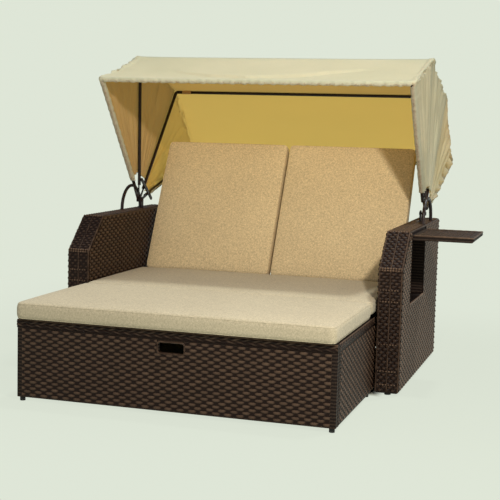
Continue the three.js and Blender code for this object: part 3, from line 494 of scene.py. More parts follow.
def shape_grid(mesh, columns, rows, place, note=None):
    """Adds a grid of columns by rows, puts each corner where place says and lets note mark it"""
    corners = bmesh.ops.create_grid(mesh, x_segments=columns, y_segments=rows, size=1.0)["verts"]
    for corner in corners:
        i = round((corner.co.x + 1) * columns / 2)
        j = round((corner.co.y + 1) * rows / 2)
        corner.co = place(i, j)
        if note:
            note(corner, i, j)
    return corners


def plane_at(origin, along, up):
    """A matrix whose X runs along, whose Y runs up and whose Z faces out"""
    along = Vector(along).normalized()
    up = Vector(up).normalized()
    out = along.cross(up)
    matrix = Matrix((along, up, out)).transposed().to_4x4()
    matrix.translation = Vector(origin)
    return matrix


def made_of(piece, **settings):
    """Adds modifiers by kind, and keeps their result as the piece's mesh"""
    for kind, values in settings.items():
        modifier = piece.modifiers.new(kind, kind)
        for key, value in values.items():
            setattr(modifier, key, value)
    graph = bpy.context.evaluated_depsgraph_get()
    result = bpy.data.meshes.new_from_object(piece.evaluated_get(graph))
    old = piece.data
    piece.modifiers.clear()
    piece.data = result
    bpy.data.meshes.remove(old)


class Weaver:
    """Weaves flat strands over and under upright stakes into one mesh"""

    def __init__(self, seed=0, row=None, pitch=None, lift=None, crown=None, light=0.0, contrast=0.74):
        weave = bpy.context.scene.daybed_weave
        self.row = row or weave.row
        self.pitch = pitch or weave.pitch
        self.lift = lift or weave.lift
        self.crown = crown or weave.crown
        # light shifts every strand's tone: above zero it paints the face lit, below zero it paints it in shade;
        # contrast sets how strong the painted highlights over the stakes are
        self.light = light
        self.contrast = contrast
        self.seed = seed
        self.mesh = bmesh.new()
        self.tone = self.mesh.verts.layers.float.new("tone")
        self.run = self.mesh.verts.layers.float_vector.new("run")

    def shade(self, row, spot):
        return 0.5 + 0.5 * noise.noise(Vector((row * 3.7 + self.seed * 11.3, spot * 2.9, self.seed)))

    def strand(self, place, row, start, end):
        """One strand along the local X axis, in its row's place, that dives under every other stake"""
        step = self.pitch / 4
        first = math.floor(start / step) + 1
        last = math.ceil(end / step) - 1
        stations = [start, *(index * step for index in range(first, last + 1)), end]
        half = self.row * 0.49
        flat, round_ = half * 0.3, half * 0.72
        # the strand's section: places across it, and the share of the crown that each drops by
        across = [(-half, 1.0), (-round_, 0.35), (-flat, 0), (flat, 0), (round_, 0.35), (half, 1.0)]
        turn = math.pi * (row % 2)

        def rise(x):
            return ((1 + math.cos(math.pi * x / self.pitch + turn)) / 2) ** 0.4

        def spot(i, j):
            over = rise(stations[i])
            side, drop = across[j]
            height = 2 * self.lift * over - self.crown * drop * (0.5 + 0.5 * over)
            return place @ Vector((stations[i], side * (0.94 + 0.06 * over), height))

        def note(corner, i, j):
            x = stations[i]
            brick = math.floor(x / self.pitch + 0.5)
            # painted highlight: palest on top of a stake, along the strand's middle and on its upper side; painted
            # shade: darker along its edges; each brick also gets a random tone
            level = min(1.0, max(0.0, 1.7 * rise(x) - 0.5))
            wear_and_painted_light = 0.24 * self.shade(row, brick) + self.contrast * level - 0.34 * across[j][1]
            wear_and_painted_light += 0.15 * across[j][0] / half
            corner[self.tone] = wear_and_painted_light + self.light
            corner[self.run] = (x + row * 0.37, across[j][0] + row * 0.11, 0)

        shape_grid(self.mesh, len(stations) - 1, len(across) - 1, spot, note)

    def stakes(self, places, start, end):
        """Upright stakes behind the strands, through all the rows' places"""
        width = self.pitch * 0.14
        for index in range(math.ceil(start / self.pitch), math.floor(end / self.pitch) + 1):
            x = index * self.pitch

            def spot(i, j):
                side = (-width, 0, width)[i]
                rise = (0.5, 1.1, 0.5)[i] * self.lift
                return places[j] @ Vector((x + side, 0, rise))

            if x - width < start or x + width > end or len(places) < 2:
                continue
            for corner in shape_grid(self.mesh, 2, len(places) - 1, spot):
                # The stakes are toned dark: painted shade in the gaps between the strands
                corner[self.tone] = 0.35 * self.shade(-index, 1)
                corner[self.run] = (corner.co.z, corner.co.x + corner.co.y, 0)

    def panel(self, base, length, height, holes=()):
        """Rows that fill a flat panel, apart from its holes, given as (x0, x1, y0, y1)"""
        count = max(1, round(height / self.row))
        self.row = height / count
        places = [base @ Matrix.Translation((0, (i + 0.5) * self.row, 0)) for i in range(count)]
        runs = {}
        for index, place in enumerate(places):
            low = index * self.row
            high = low + self.row
            spans = [(0, length)]
            for x0, x1, y0, y1 in holes:
                if low + self.row * 0.3 < y1 and high - self.row * 0.3 > y0:
                    cut = []
                    for a, b in spans:
                        cut += [(a, min(b, x0)), (max(a, x1), b)]
                    spans = [(a, b) for a, b in cut if b - a > 0.006]
            for span in spans:
                self.strand(place, index, *span)
                runs.setdefault(span, []).append(place)
        for (start, end), rows in runs.items():
            self.stakes(rows, start, end)

    def path(self, points, width, gap=0.0):
        """Rows across a band that follows points, in one column or in two with a gap"""
        places = []
        for first, second in zip(points, points[1:]):
            step = Vector(second) - Vector(first)
            count = max(1, round(step.length / self.row))
            for i in range(count):
                centre = Vector(first) + step * ((i + 0.5) / count)
                places.append(plane_at(centre, RIGHT, step))
        half = width / 2
        columns = [(-half, -gap / 2), (gap / 2, half)] if gap else [(-half, half)]
        for index, place in enumerate(places):
            for span in columns:
                self.strand(place, index, *span)

    def cord(self, points, radius, closed=False, twist=0.10, lay=1.1, flat=1.0, tone=0.62, knots=0.0):
        """A wrapped cord along points: twist raises its strand, lay turns it, knots swell it evenly"""
        rings = rings_along(along_points(points, 0.006, closed), closed)
        sides = 8

        def spot(i, j):
            here, side, rise = rings[i]
            around = 2 * math.pi * j / sides
            swell = radius * (1 + twist * math.sin(around * 2 + i * lay))
            swell *= 1 + knots * math.cos(math.pi * i)
            return here + side * (math.cos(around) * swell * flat) + rise * (math.sin(around) * swell)

        def note(corner, i, j):
            # The twisted strand is painted paler where it rises, a painted highlight; a knot is paler where it
            # swells and darker between
            rise_highlight = math.sin(4 * math.pi * j / sides + i * lay) if twist > 0.15 else 0
            knot = math.cos(math.pi * i) if knots else 0
            corner[self.tone] = tone + 0.2 * noise.noise(corner.co * 40) + 0.3 * rise_highlight + 0.45 * knot
            corner[self.run] = (corner.co.x + corner.co.y + corner.co.z, i * 0.0003, 0)

        corners = shape_grid(self.mesh, len(rings) - 1, sides, spot, note)
        bmesh.ops.remove_doubles(self.mesh, verts=corners, dist=0.00002)

    def trim(self, point, normal):
        """Cuts away what lies past a plane"""
        everything = [*self.mesh.verts, *self.mesh.edges, *self.mesh.faces]
        bmesh.ops.bisect_plane(
            self.mesh, geom=everything, plane_co=point, plane_no=normal, clear_outer=True, dist=0.00001
        )

    def done(self, name, body):
        finished(name, self.mesh, kept("woven_strand", strand_finish), body)


def rings_along(stations, closed):
    """Each station with a direction to its side and one upwards"""
    last = len(stations) - 1
    rings = []
    for index, here in enumerate(stations):
        before = stations[index - 1] if closed or index else here
        after = stations[(index + 1) % (last + 1)] if closed or index < last else here
        forward = (after - before).normalized()
        side = forward.cross(UP)
        side = (side if side.length > 0.1 else forward.cross(RIGHT)).normalized()
        rings.append((here, side, side.cross(forward)))
    return rings + rings[:1] if closed else rings


def along_points(points, step, closed):
    """Evenly spaced points along straight runs"""
    corners = [Vector(point) for point in points]
    if closed:
        corners.append(corners[0])
    result = []
    for first, second in zip(corners, corners[1:]):
        run = second - first
        count = max(1, round(run.length / step))
        result += [first + run * (i / count) for i in range(count)]
    if not closed:
        result.append(corners[-1])
    return result


# ---- the woven pieces


# The arm's shoulder starts this high and rises to the top over this depth
SHOULDER_HEIGHT, SHOULDER_DEPTH = 0.522, 0.156
# The pocket's mouth, from the arm's lower front corner
POCKET_Y, POCKET_Z = (0.193, 0.555), (0.353, 0.6525)
# The outer faces show deep ribs, the inner ones an even weave; light makes a face's strands paler as painted
# light, and contrast sets the strength of their painted highlights
ARM_FACES = {
    "outer": {"crown": 0.0032, "light": 0.08, "contrast": 0.98},
    "inner": {"light": 0.20, "contrast": 0.46},
}
# Heights of the dotted rows across the arm's front
DOTTED_ROWS = (0.447, 0.399, 0.218, 0.104, 0.047)


def arm_outline(label):
    """The arm's outline in its own plane, in (Y, Z) points from the lower front corner round the top"""
    low, high = box_of(f"{label}_arm")
    foot = low.z + 0.004
    shoulder = [(low.y, low.z + SHOULDER_HEIGHT), (low.y + SHOULDER_DEPTH, high.z)]
    return [(low.y, foot), *shoulder, (high.y, high.z), (high.y, foot)]


class DAYBED_OT_arm_weave(bpy.types.Operator):
    """Weave both arms: outer and inner faces, the bands round the front and top, and the edge cords"""

    bl_idname = "daybed.arm_weave"
    bl_label = "Weave the arms"

    def execute(self, context):
        for label, side in SIDES:
            low, high = box_of(f"{label}_arm")
            outer = high.x if side > 0 else low.x
            inner = low.x if side > 0 else high.x
            self.face(label, "outer", side, outer, low, high)
            self.face(label, "inner", -side, inner, low, high)
            self.edges(label, low, high)
        return {"FINISHED"}

    def face(self, label, name, out, x, low, high):
        margin = 0.005
        span = high.y - low.y - 2 * margin
        along = BACK if out > 0 else -BACK
        start = low.y + margin if out > 0 else high.y - margin
        base = plane_at((x, start, low.z + margin), along, UP)
        holes = []
        if name == "outer":
            clear = 0.004
            a, b = sorted((low.y + y - start) * out for y in POCKET_Y)
            bottom, top = (z - margin for z in POCKET_Z)
            holes.append((a - clear, b + clear, bottom - clear, top + clear))
        weaver = Weaver(seed=x, **ARM_FACES[name])
        weaver.panel(base, span, high.z - low.z - 2 * margin, holes)
        knee = Vector((x, low.y, low.z + SHOULDER_HEIGHT))
        slope = Vector((0, SHOULDER_DEPTH, high.z - low.z - SHOULDER_HEIGHT))
        normal = slope.cross(RIGHT).normalized()
        normal = -normal if normal.y > 0 else normal
        weaver.trim(knee - normal * margin, normal)
        weaver.done(f"{label}_arm_{name}_weave", "base")

    def edges(self, label, low, high):
        centre = (low.x + high.x) / 2
        outline = arm_outline(label)
        width = high.x - low.x - 0.011
        turn = [(centre, y, z) for y, z in outline]
        # The front band's strands are painted darker, painted shade, and the top band's paler, painted light
        front = Weaver(seed=centre * 3, pitch=0.0135, lift=0.0014, light=-0.24)
        front.path(turn[:3], width, gap=0.006)
        front.done(f"{label}_arm_front_weave", "base")
        top = Weaver(seed=centre * 4, pitch=0.0135, lift=0.0016, light=0.14)
        top.path(turn[2:], width, gap=0.006)
        top.done(f"{label}_arm_top_weave", "base")
        cords = Weaver(seed=centre * 5)
        radius = bpy.context.scene.daybed_weave.bead
        inset = radius * 0.75
        for x in (low.x + inset, high.x - inset):
            cords.cord(self.inset_points(outline, x, inset), radius, tone=0.70)
        cords.cord(self.inset_points(outline, centre, 0), radius * 0.8, tone=0.66)
        (y0, z0), (y1, z1), (y2, z2) = outline[:3]
        for y, z in ((y1 - 0.001, z1 - 0.004), (y1 + 0.001, z1 + 0.004), (y2, z2)):
            cords.cord([(low.x + inset, y, z), (high.x - inset, y, z)], radius * 0.7, tone=0.95, knots=0.25)
        for z in DOTTED_ROWS:
            line = [(x, y0 - 0.002, z) for x in (low.x + 0.010, high.x - 0.010)]
            cords.cord(line, radius * 0.65, tone=0.75, knots=0.4)
        cords.done(f"{label}_arm_edge_cords", "base")

    def inset_points(self, outline, x, inset):
        (y0, z0), (y1, z1), (y2, z2), (y3, z3), (y4, z4) = outline
        return [
            (x, y0 + inset, z0),
            (x, y1 + inset, z1 - inset * 0.4),
            (x, y2 + inset * 0.4, z2 - inset),
            (x, y3 - inset, z3 - inset),
            (x, y4 - inset, z4),
        ]


class DAYBED_OT_pocket_edges(bpy.types.Operator):
    """Wrap a cord round the mouth of each pocket in the arms"""

    bl_idname = "daybed.pocket_edges"
    bl_label = "Edge the pockets"

    def execute(self, context):
        for label, side in SIDES:
            low, high = box_of(f"{label}_arm")
            x = high.x if side > 0 else low.x
            y0, y1 = (low.y + y for y in POCKET_Y)
            z0, z1 = (low.z + z for z in POCKET_Z)
            out = x + side * 0.0008
            bead = context.scene.daybed_weave.bead
            front, rear, sill, top = y0 - bead / 2, y1 + bead / 2, z0 - bead / 2, z1 - 0.012
            points = [(out, front, top), (out, front, sill), (out, rear, sill), (out, rear, top)]
            cords = Weaver(seed=x)
            cords.cord(points, bead * 0.8, tone=0.4)
            # The sill cord's bright tone is a painted highlight on the lit ledge
            cords.cord([points[1], points[2]], bead * 1.05, tone=1.4)
            cords.done(f"{label}_pocket_edge_cord", "base")
        return {"FINISHED"}


# Height, radius, twist, lay and tone of the strands over the footrest's rim; the thin top cord's pale tone is a
# painted highlight along the rim's top, and the low cord's dark tone painted shade in the groove between the rim
# and the panel
RIM_STRANDS = (
    (0.0115, 0.0068, 0.22, 0.9, 0.45),
    (0.0225, 0.0068, 0.22, -0.9, 0.5),
    (0.0305, 0.0026, 0.1, 1.1, 0.95),
    (0.0025, 0.0030, 0.1, 1.1, 0.25),
)
# Height of the rim, and the space that the weave leaves above the panel's foot and under the rim
RIM, LIFT_OFF, RIM_SPACE = 0.033, 0.004, 0.007


def woven(name, body, base, span, height, holes=(), **settings):
    """One woven panel as a piece of its own"""
    weaver = Weaver(**settings)
    weaver.panel(base, span, height, holes)
    weaver.done(name, body)


class DAYBED_OT_footrest_weave(bpy.types.Operator):
    """Weave the footrest's front and sides, with a plaited rim and a cord round the hand hole"""

    bl_idname = "daybed.footrest_weave"
    bl_label = "Weave the footrest"

    def execute(self, context):
        low, high = box_of("footrest_front_panel")
        rim, foot = high.z - RIM, low.z + LIFT_OFF
        post = 0.022
        start = plane_at((low.x + post, low.y + 0.0025, foot), RIGHT, UP)
        middle = (low.x + high.x) / 2
        centre = middle - low.x - post
        hole_low, hole_high = high.z - 0.086, high.z - 0.045
        hole = (centre - 0.056, centre + 0.056, hole_low - foot - 0.002, hole_high - foot + 0.002)
        span = high.x - low.x - 2 * post
        woven("footrest_front_weave", "footrest", start, span, rim - low.z - RIM_SPACE, [hole], seed=1.7)
        self.rim("footrest_front_rim_plait", Vector((low.x, low.y, rim)), RIGHT, high.x - low.x)
        self.hand_hole(middle, low.y, hole_low, hole_high)
        for label, side in SIDES:
            self.side(label, side)
        return {"FINISHED"}

    def rim(self, name, start, along, span):
        """Two flat twisted strands laid opposite ways over the rim, with a thin cord above and below"""
        plait = Weaver(seed=span)
        for height, radius, twist, lay, tone in RIM_STRANDS:
            ends = [start + UP * height, start + UP * height + along * span]
            plait.cord(ends, radius, twist=twist, lay=lay, flat=0.62, tone=tone)
        plait.done(name, "footrest")

    def hand_hole(self, middle, y, z0, z1):
        half, round_ = 0.053, 0.009
        reach = round_ + 0.0025
        points = []
        corners = ((half, z0, -90), (half, z1, 0), (-half, z1, 90), (-half, z0, 180))
        for x, z, first in corners:
            cx = middle + x - math.copysign(round_, x)
            cz = z + round_ if z == z0 else z - round_
            for i in range(4):
                turn = math.radians(first + i * 30)
                points.append((cx + reach * math.cos(turn), y + 0.0008, cz + reach * math.sin(turn)))
        cords = Weaver(seed=9)
        cords.cord(points, bpy.context.scene.daybed_weave.bead * 0.9, closed=True, tone=0.7)
        cords.done("footrest_hand_hole_cord", "footrest")

    def side(self, label, side):
        low, high = box_of(f"footrest_{label}_panel")
        x = high.x if side > 0 else low.x
        # the weave runs on past the panel, and further still below the deck, to close the slit by the arm
        post, past, further, deck = 0.024, 0.034, 0.042, (0.262, 0.4)
        along = BACK if side > 0 else -BACK
        front, rear = low.y + post, high.y + past
        rim = high.z - RIM
        span = rear + further - front
        start = front if side > 0 else rear + further
        base = plane_at((x - side * 0.0028, start, low.z + LIFT_OFF), along, UP)
        beside_deck = (span - further, span, *deck) if side > 0 else (0, further, *deck)
        # The side's strands are painted darker, painted shade, with strong painted highlights over the stakes
        woven(
            f"footrest_{label}_weave", "footrest", base, span, rim - low.z - RIM_SPACE, [beside_deck],
            seed=side * 2.3, crown=0.0030, light=-0.22, contrast=0.98,
        )
        start = Vector((x - side * 0.0022, low.y if side > 0 else rear, rim))
        self.rim(f"footrest_{label}_rim_plait", start, along, rear - low.y)


class DAYBED_OT_base_weave(bpy.types.Operator):
    """Weave the rear panel of the base"""

    bl_idname = "daybed.base_weave"
    bl_label = "Weave the base"

    def execute(self, context):
        low, high = box_of("rear_base_panel")
        margin = 0.006
        base = plane_at((high.x - margin, high.y - 0.0005, low.z + margin), -RIGHT, UP)
        span, height = high.x - low.x - 2 * margin, high.z - low.z - 2 * margin
        woven("rear_base_weave", "base", base, span, height, seed=4.1)
        return {"FINISHED"}


def back_tilt():
    """The slope of the backs: up along it, out behind it, and the hinge line's middle"""
    lean = math.radians(26.5)
    up = Vector((0, math.sin(lean), math.cos(lean)))
    behind = Vector((0, math.cos(lean), -math.sin(lean)))
    return up, behind, joint_place("left_back_recline")


class DAYBED_OT_back_weave(bpy.types.Operator):
    """Weave the panel behind each back cushion"""

    bl_idname = "daybed.back_weave"
    bl_label = "Weave the backs"

    def execute(self, context):
        up, behind, hinge = back_tilt()
        for label, side in SIDES:
            low, high = box_of(f"{label}_back_panel")
            margin, start, height = 0.012, 0.082, 0.590
            corner = Vector((high.x - margin, hinge.y, hinge.z)) + up * start + behind * 0.0036
            base, span = plane_at(corner, -RIGHT, up), high.x - low.x - 2 * margin
            woven(f"{label}_back_weave", f"{label}_back", base, span, height, seed=side * 6.1)
        return {"FINISHED"}


class DAYBED_OT_tray_weave(bpy.types.Operator):
    """Weave the sunk top of each side table and wrap its border"""

    bl_idname = "daybed.tray_weave"
    bl_label = "Weave the side tables"

    def execute(self, context):
        margin, hinge_side, clear = 0.0265, 0.0645, 0.03
        low, high = box_of("right_tray")
        base = plane_at((low.x + 0.037, low.y + margin, high.z - 0.0028), RIGHT, BACK)
        ends = [(low.x + clear, high.x), (high.x, low.x + clear)]
        edge = [(x, y, high.z) for pair, y in zip(ends, (low.y, high.y)) for x in pair]
        self.top("right", base, high.x - low.x - hinge_side, high.y - low.y - 2 * margin, edge)
        low, high = box_of("left_tray")
        base = plane_at((low.x + 0.0028, high.y - margin, low.z + 0.0275), -BACK, UP)
        ends = [(high.z - clear, low.z), (low.z, high.z - clear)]
        edge = [(low.x, y, z) for pair, y in zip(ends, (low.y, high.y)) for z in pair]
        self.top("left", base, high.y - low.y - 2 * margin, high.z - low.z - hinge_side, edge)
        return {"FINISHED"}

    def top(self, label, base, span, height, edge):
        # The strands are painted a little darker: painted shade
        weaver = Weaver(seed=base.translation.x, pitch=0.018, row=0.011, lift=0.0012, light=-0.08)
        weaver.panel(base, span, height)
        centre = base @ Vector((span / 2, height / 2, -0.004))
        points = [Vector(point) for point in edge]
        # The outer cord's pale tone is a painted highlight along the border's top
        weaver.cord([point.lerp(centre, 0.012) for point in points], 0.0032, tone=0.95)
        weaver.cord([point.lerp(centre, 0.07) for point in points], 0.0022, tone=0.6)
        weaver.done(f"{label}_tray_weave", f"{label}_tray")


# ---- the cushions


def block_mesh(size, corner, edge):
    """A block with rounded corners and edges, in the middle of its own axes"""
    mesh = bmesh.new()
    bmesh.ops.create_cube(mesh, size=1.0)
    bmesh.ops.scale(mesh, vec=size, verts=mesh.verts)
    settings = {"profile": 0.5, "affect": "EDGES", "material": -1}
    upright = [e for e in mesh.edges if abs(e.verts[0].co.z - e.verts[1].co.z) > size[2] / 2]
    bmesh.ops.bevel(mesh, geom=upright, offset=corner, segments=5, **settings)
    rims = [e for e in mesh.edges if abs(e.verts[0].co.z + e.verts[1].co.z) > size[2] * 0.99]
    rims = [e for e in rims if any(abs(face.normal.z) < 0.5 for face in e.link_faces)]
    bmesh.ops.bevel(mesh, geom=rims, offset=edge, segments=3, **settings)
    return mesh


def swollen(piece, size, edge, settings, frames=20):
    """Lets the cover swell round its filling, held at its seams and where it rests"""
    rest = [vertex.co.copy() for vertex in piece.data.vertices]
    held = piece.vertex_groups.new(name="held")
    for index, point in enumerate(rest):
        sides = max(abs(point.x) - size[0] / 2, abs(point.y) - size[1] / 2)
        seam = sides > -edge * 1.4 and abs(point.z) > size[2] / 2 - edge * 1.4
        if seam or point.z < -size[2] / 2 + 0.001:
            held.add([index], 1.0, "REPLACE")
    cloth = piece.modifiers.new("Cloth", "CLOTH")
    cloth.settings.use_pressure = True
    cloth.settings.uniform_pressure_force = settings.pressure
    cloth.settings.effector_weights.gravity = 0
    cloth.settings.vertex_group_mass = "held"
    cloth.settings.quality = 4
    cloth.settings.tension_stiffness = 25
    cloth.settings.compression_stiffness = 25
    cloth.settings.bending_stiffness = 3
    cloth.point_cache.frame_start = 1
    cloth.point_cache.frame_end = frames
    for step in range(1, frames + 1):
        bpy.context.scene.frame_set(step)
    graph = bpy.context.evaluated_depsgraph_get()
    settled = piece.evaluated_get(graph).to_mesh()
    moved = [vertex.co.copy() for vertex in settled.vertices]
    piece.evaluated_get(graph).to_mesh_clear()
    piece.modifiers.clear()
    bpy.context.scene.frame_set(1)
    for vertex, point, was in zip(piece.data.vertices, moved, rest):
        shift = point - was
        if shift.length > settings.cap:
            shift.length = settings.cap
        vertex.co = was + shift


def hang(point, size, border):
    """How far the cover's lower border hangs: border is (width at the front, width at the sides, drop)"""
    front, sides, drop = border
    gaps = [(size[0] / 2 - abs(point.x)) / sides, (point.y + size[1] / 2) / front]
    near = max(0.0, 1 - max(0.0, min(gaps)))
    return drop * near * near * (3 - 2 * near) * max(0.0, 0.5 - point.z / size[2])


# How far a cushion's top wavers, and its cover is drawn in at half height
WAVER, DRAW = 0.0016, 0.004


def pressed(height, ceiling, ease=0.007):
    """Eases a height so that it never passes a ceiling"""
    over = height - (ceiling - ease)
    return height if over < 0 else ceiling - ease * math.exp(-over / ease)


def cushion(
    name, node, body, slot, size, place, crown, corner=0.03, edge=0.014, border=None, ceiling=1.0
):
    """A foam cushion in its cover, swollen between its seams, with a seam cord round both faces"""
    settings = bpy.context.scene.daybed_cloth
    piece = placed(name, block_mesh(size, corner, edge))
    made_of(piece, REMESH={"mode": "VOXEL", "voxel_size": settings.voxel})
    swollen(piece, size, edge, settings)
    for vertex in piece.data.vertices:
        point = vertex.co
        across = max(0.0, 1 - (2 * point.x / size[0]) ** 2)
        along = max(0.0, 1 - (2 * point.y / size[1]) ** 2)
        rise = (point.z + size[2] / 2) / size[2]
        point.z += crown * rise * (across * along) ** 0.5
        wobble = noise.noise(point * 5.0 + Vector((len(name), 0, 0)))
        point.z += WAVER * wobble * rise
        draw = DRAW * max(0.0, 1 - abs(2 * point.z / size[2]) ** 2)
        point.x -= math.copysign(draw * abs(2 * point.x / size[0]) ** 8, point.x) * across
        point.z = pressed(point.z, ceiling)
        if border:
            point.z -= hang(point, size, border)
    made_of(piece, SUBSURF={"levels": 1, "render_levels": 1})
    seam = seam_cord(name, piece, size, corner, edge, settings.seam, border)
    for part in (piece, seam):
        part.data.transform(place)
        part.data.materials.clear()
        part.data.materials.append(kept(slot + "_cover", cushion_finish))
        smoothed(part)
        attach(part, body)
    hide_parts(node)


def seam_cord(name, piece, size, corner, edge, radius, border):
    """The stitched cord round the top and bottom faces, laid on the swollen cover"""
    tree = BVHTree.FromObject(piece, bpy.context.evaluated_depsgraph_get())
    mesh = bmesh.new()
    half = Vector(size) / 2
    for level in (-1, 1):
        ring = []
        corners = ((1, 1, 0), (-1, 1, 90), (-1, -1, 180), (1, -1, 270))
        for sx, sy, first in corners:
            for i in range(7):
                turn = math.radians(first + i * 15)
                reach = corner - edge * 0.3
                ring.append(Vector((
                    sx * (half.x - corner) + reach * math.cos(turn),
                    sy * (half.y - corner) + reach * math.sin(turn),
                    level * (half.z - edge * 0.3),
                )))
        for point in ring if border else ():
            point.z -= hang(point, size, border)
        stations = [tree.find_nearest(point)[0] for point in along_points(ring, 0.012, True)]
        tube_along(mesh, stations, radius, 6)
    return placed(name + "_seam", mesh)


def tube_along(mesh, stations, radius, sides):
    """A round tube through stations that close into a ring"""
    rings = rings_along(stations, True)

    def spot(i, j):
        here, side, rise = rings[i]
        around = 2 * math.pi * j / sides
        return here + side * (math.cos(around) * radius) + rise * (math.sin(around) * radius)

    corners = shape_grid(mesh, len(rings) - 1, sides, spot)
    bmesh.ops.remove_doubles(mesh, verts=corners, dist=0.00001)
    bmesh.ops.recalc_face_normals(mesh, faces=mesh.faces)


class DAYBED_OT_seat_cushions(bpy.types.Operator):
    """Pad the seat cushion and the footrest cushion"""

    bl_idname = "daybed.seat_cushions"
    bl_label = "Pad the seat"

    def execute(self, context):
        for name, node, body, rear in (
            ("seat_cushion_cover", "seat_cushion", "base", 0),
            ("foot_cushion_cover", "foot_cushion", "foot_cushion", 1),
        ):
            low, high = box_of(node)
            low.y += 0 if rear else -0.0022
            high.y += 0.0022 if rear else 0
            thick = 0.057
            size = (high.x - low.x - 0.004, high.y - low.y - 0.001, thick)
            place = Matrix.Translation(((low.x + high.x) / 2, (low.y + high.y) / 2, low.z + thick / 2))
            cushion(
                name, node, body, "seat_cloth", size, place, 0.011,
                corner=0.024, edge=0.012, border=(0.026, 0.045, 0.0125) if rear else None,
                ceiling=0.0420,
            )
        return {"FINISHED"}


class DAYBED_OT_back_cushions(bpy.types.Operator):
    """Pad the two back cushions"""

    bl_idname = "daybed.back_cushions"
    bl_label = "Pad the backs"

    def execute(self, context):
        up, behind, hinge = back_tilt()
        for label, _ in SIDES:
            low, high = box_of(f"{label}_back_cushion")
            size = (high.x - low.x - 0.003, 0.701, 0.062)
            middle = Vector(((low.x + high.x) / 2, hinge.y, hinge.z))
            middle += up * (0.033 + 0.3555) - behind * (0.0113 + 0.031)
            matrix = plane_at(middle, RIGHT, up)
            cushion(
                f"{label}_back_cover", f"{label}_back_cushion", f"{label}_back", "back_cloth",
                size, matrix, 0.009, corner=0.016, edge=0.010,
            )
        return {"FINISHED"}


# ---- the canopy


def hoop(name):
    settings = bpy.context.scene.daybed_canopy
    return getattr(settings, name + "_angle"), getattr(settings, name + "_reach")


def outline_run(reach, inset):
    """Lengths of the outline's straight side, its bend and half its roof, on one hoop"""
    settings = bpy.context.scene.daybed_canopy
    bend = settings.bend + settings.offset - inset
    side = reach - inset - bend - settings.foot
    return side, bend * math.pi / 2, settings.half_width - inset - bend


def outline_point(share, reach, inset):
    """A point of the cloth's outline on a hoop: share runs 0 to 3 to 0 over side, bend and roof"""
    settings = bpy.context.scene.daybed_canopy
    side, _, roof = outline_run(reach, inset)
    bend = settings.bend + settings.offset - inset
    half = settings.half_width - inset
    straight = reach - inset - bend
    if share <= 1:
        return half, settings.foot + side * share
    if share <= 2:
        turn = (share - 1) * math.pi / 2
        return half - bend + bend * math.cos(turn), straight + bend * math.sin(turn)
    return roof * (3 - share), reach - inset


def between_points(value, points):
    """The second number at value, between (first, second) pairs in order"""
    for (a, low), (b, high) in zip(points, points[1:]):
        if value <= b:
            return low + (high - low) * max(0.0, value - a) / (b - a)
    return points[-1][1]


# How far each hoop's left and right corners push the cloth out
CORNER_PEAKS = {
    "front": (0.006, 0.013),
    "middle": (0.013, 0.015),
    "upper": (0.004, 0.006),
    "rear": (0.0, 0.003),
}
# The soft crease over the front roof: across from the middle, and the share of the way back
ROOF_CREASE = (
    (-0.46, 0.50), (-0.367, 0.375), (-0.232, 0.25), (-0.053, 0.181), (0.184, 0.349), (0.448, 0.663),
)


# Steps of a canopy cloth's mesh: up each side, round each bend and over each half of the roof
SIDE_STEPS, BEND_STEPS, ROOF_STEPS = 110, 10, 120
# Degrees that a hem has turned round its bar at each row of its wrap
HEM_TURNS = (200, 160, 125, 95, 65, 40, 20)
# Metres along the outline's side and along half its roof, to space the gathers
SIDE_RUN, ROOF_RUN = 0.62, 0.735
# Shares of the outline at the middle of the bend, and where the rear hem's bunches end
CORNER, BUNCH_END = 1.5, 1.2
# Depth of the gathers round a hem on the roof and on the sides, and of the folds that run in from it
ROOF_GATHER, SIDE_GATHER, HEM_FOLD = 0.0017, 0.0009, 0.0016
# Depth of the crumples near the bend, of the ridge along its seam, and of the sides' streaks
CRUMPLE, RIDGE, STREAK = 0.0095, 0.0014, 0.0135
# Depth of the roof's ripples and of its crease
RIPPLE, CREASE = 0.0045, 0.0085
# Depth of the rear hem's bunches, and how far in from the hem they lie, as a share of the way
BUNCH, BUNCH_PLACE = 0.014, 0.09


def hump(value, middle, width):
    """One at its middle, and falling away over its width"""
    return math.exp(-(((value - middle) / width) ** 2))


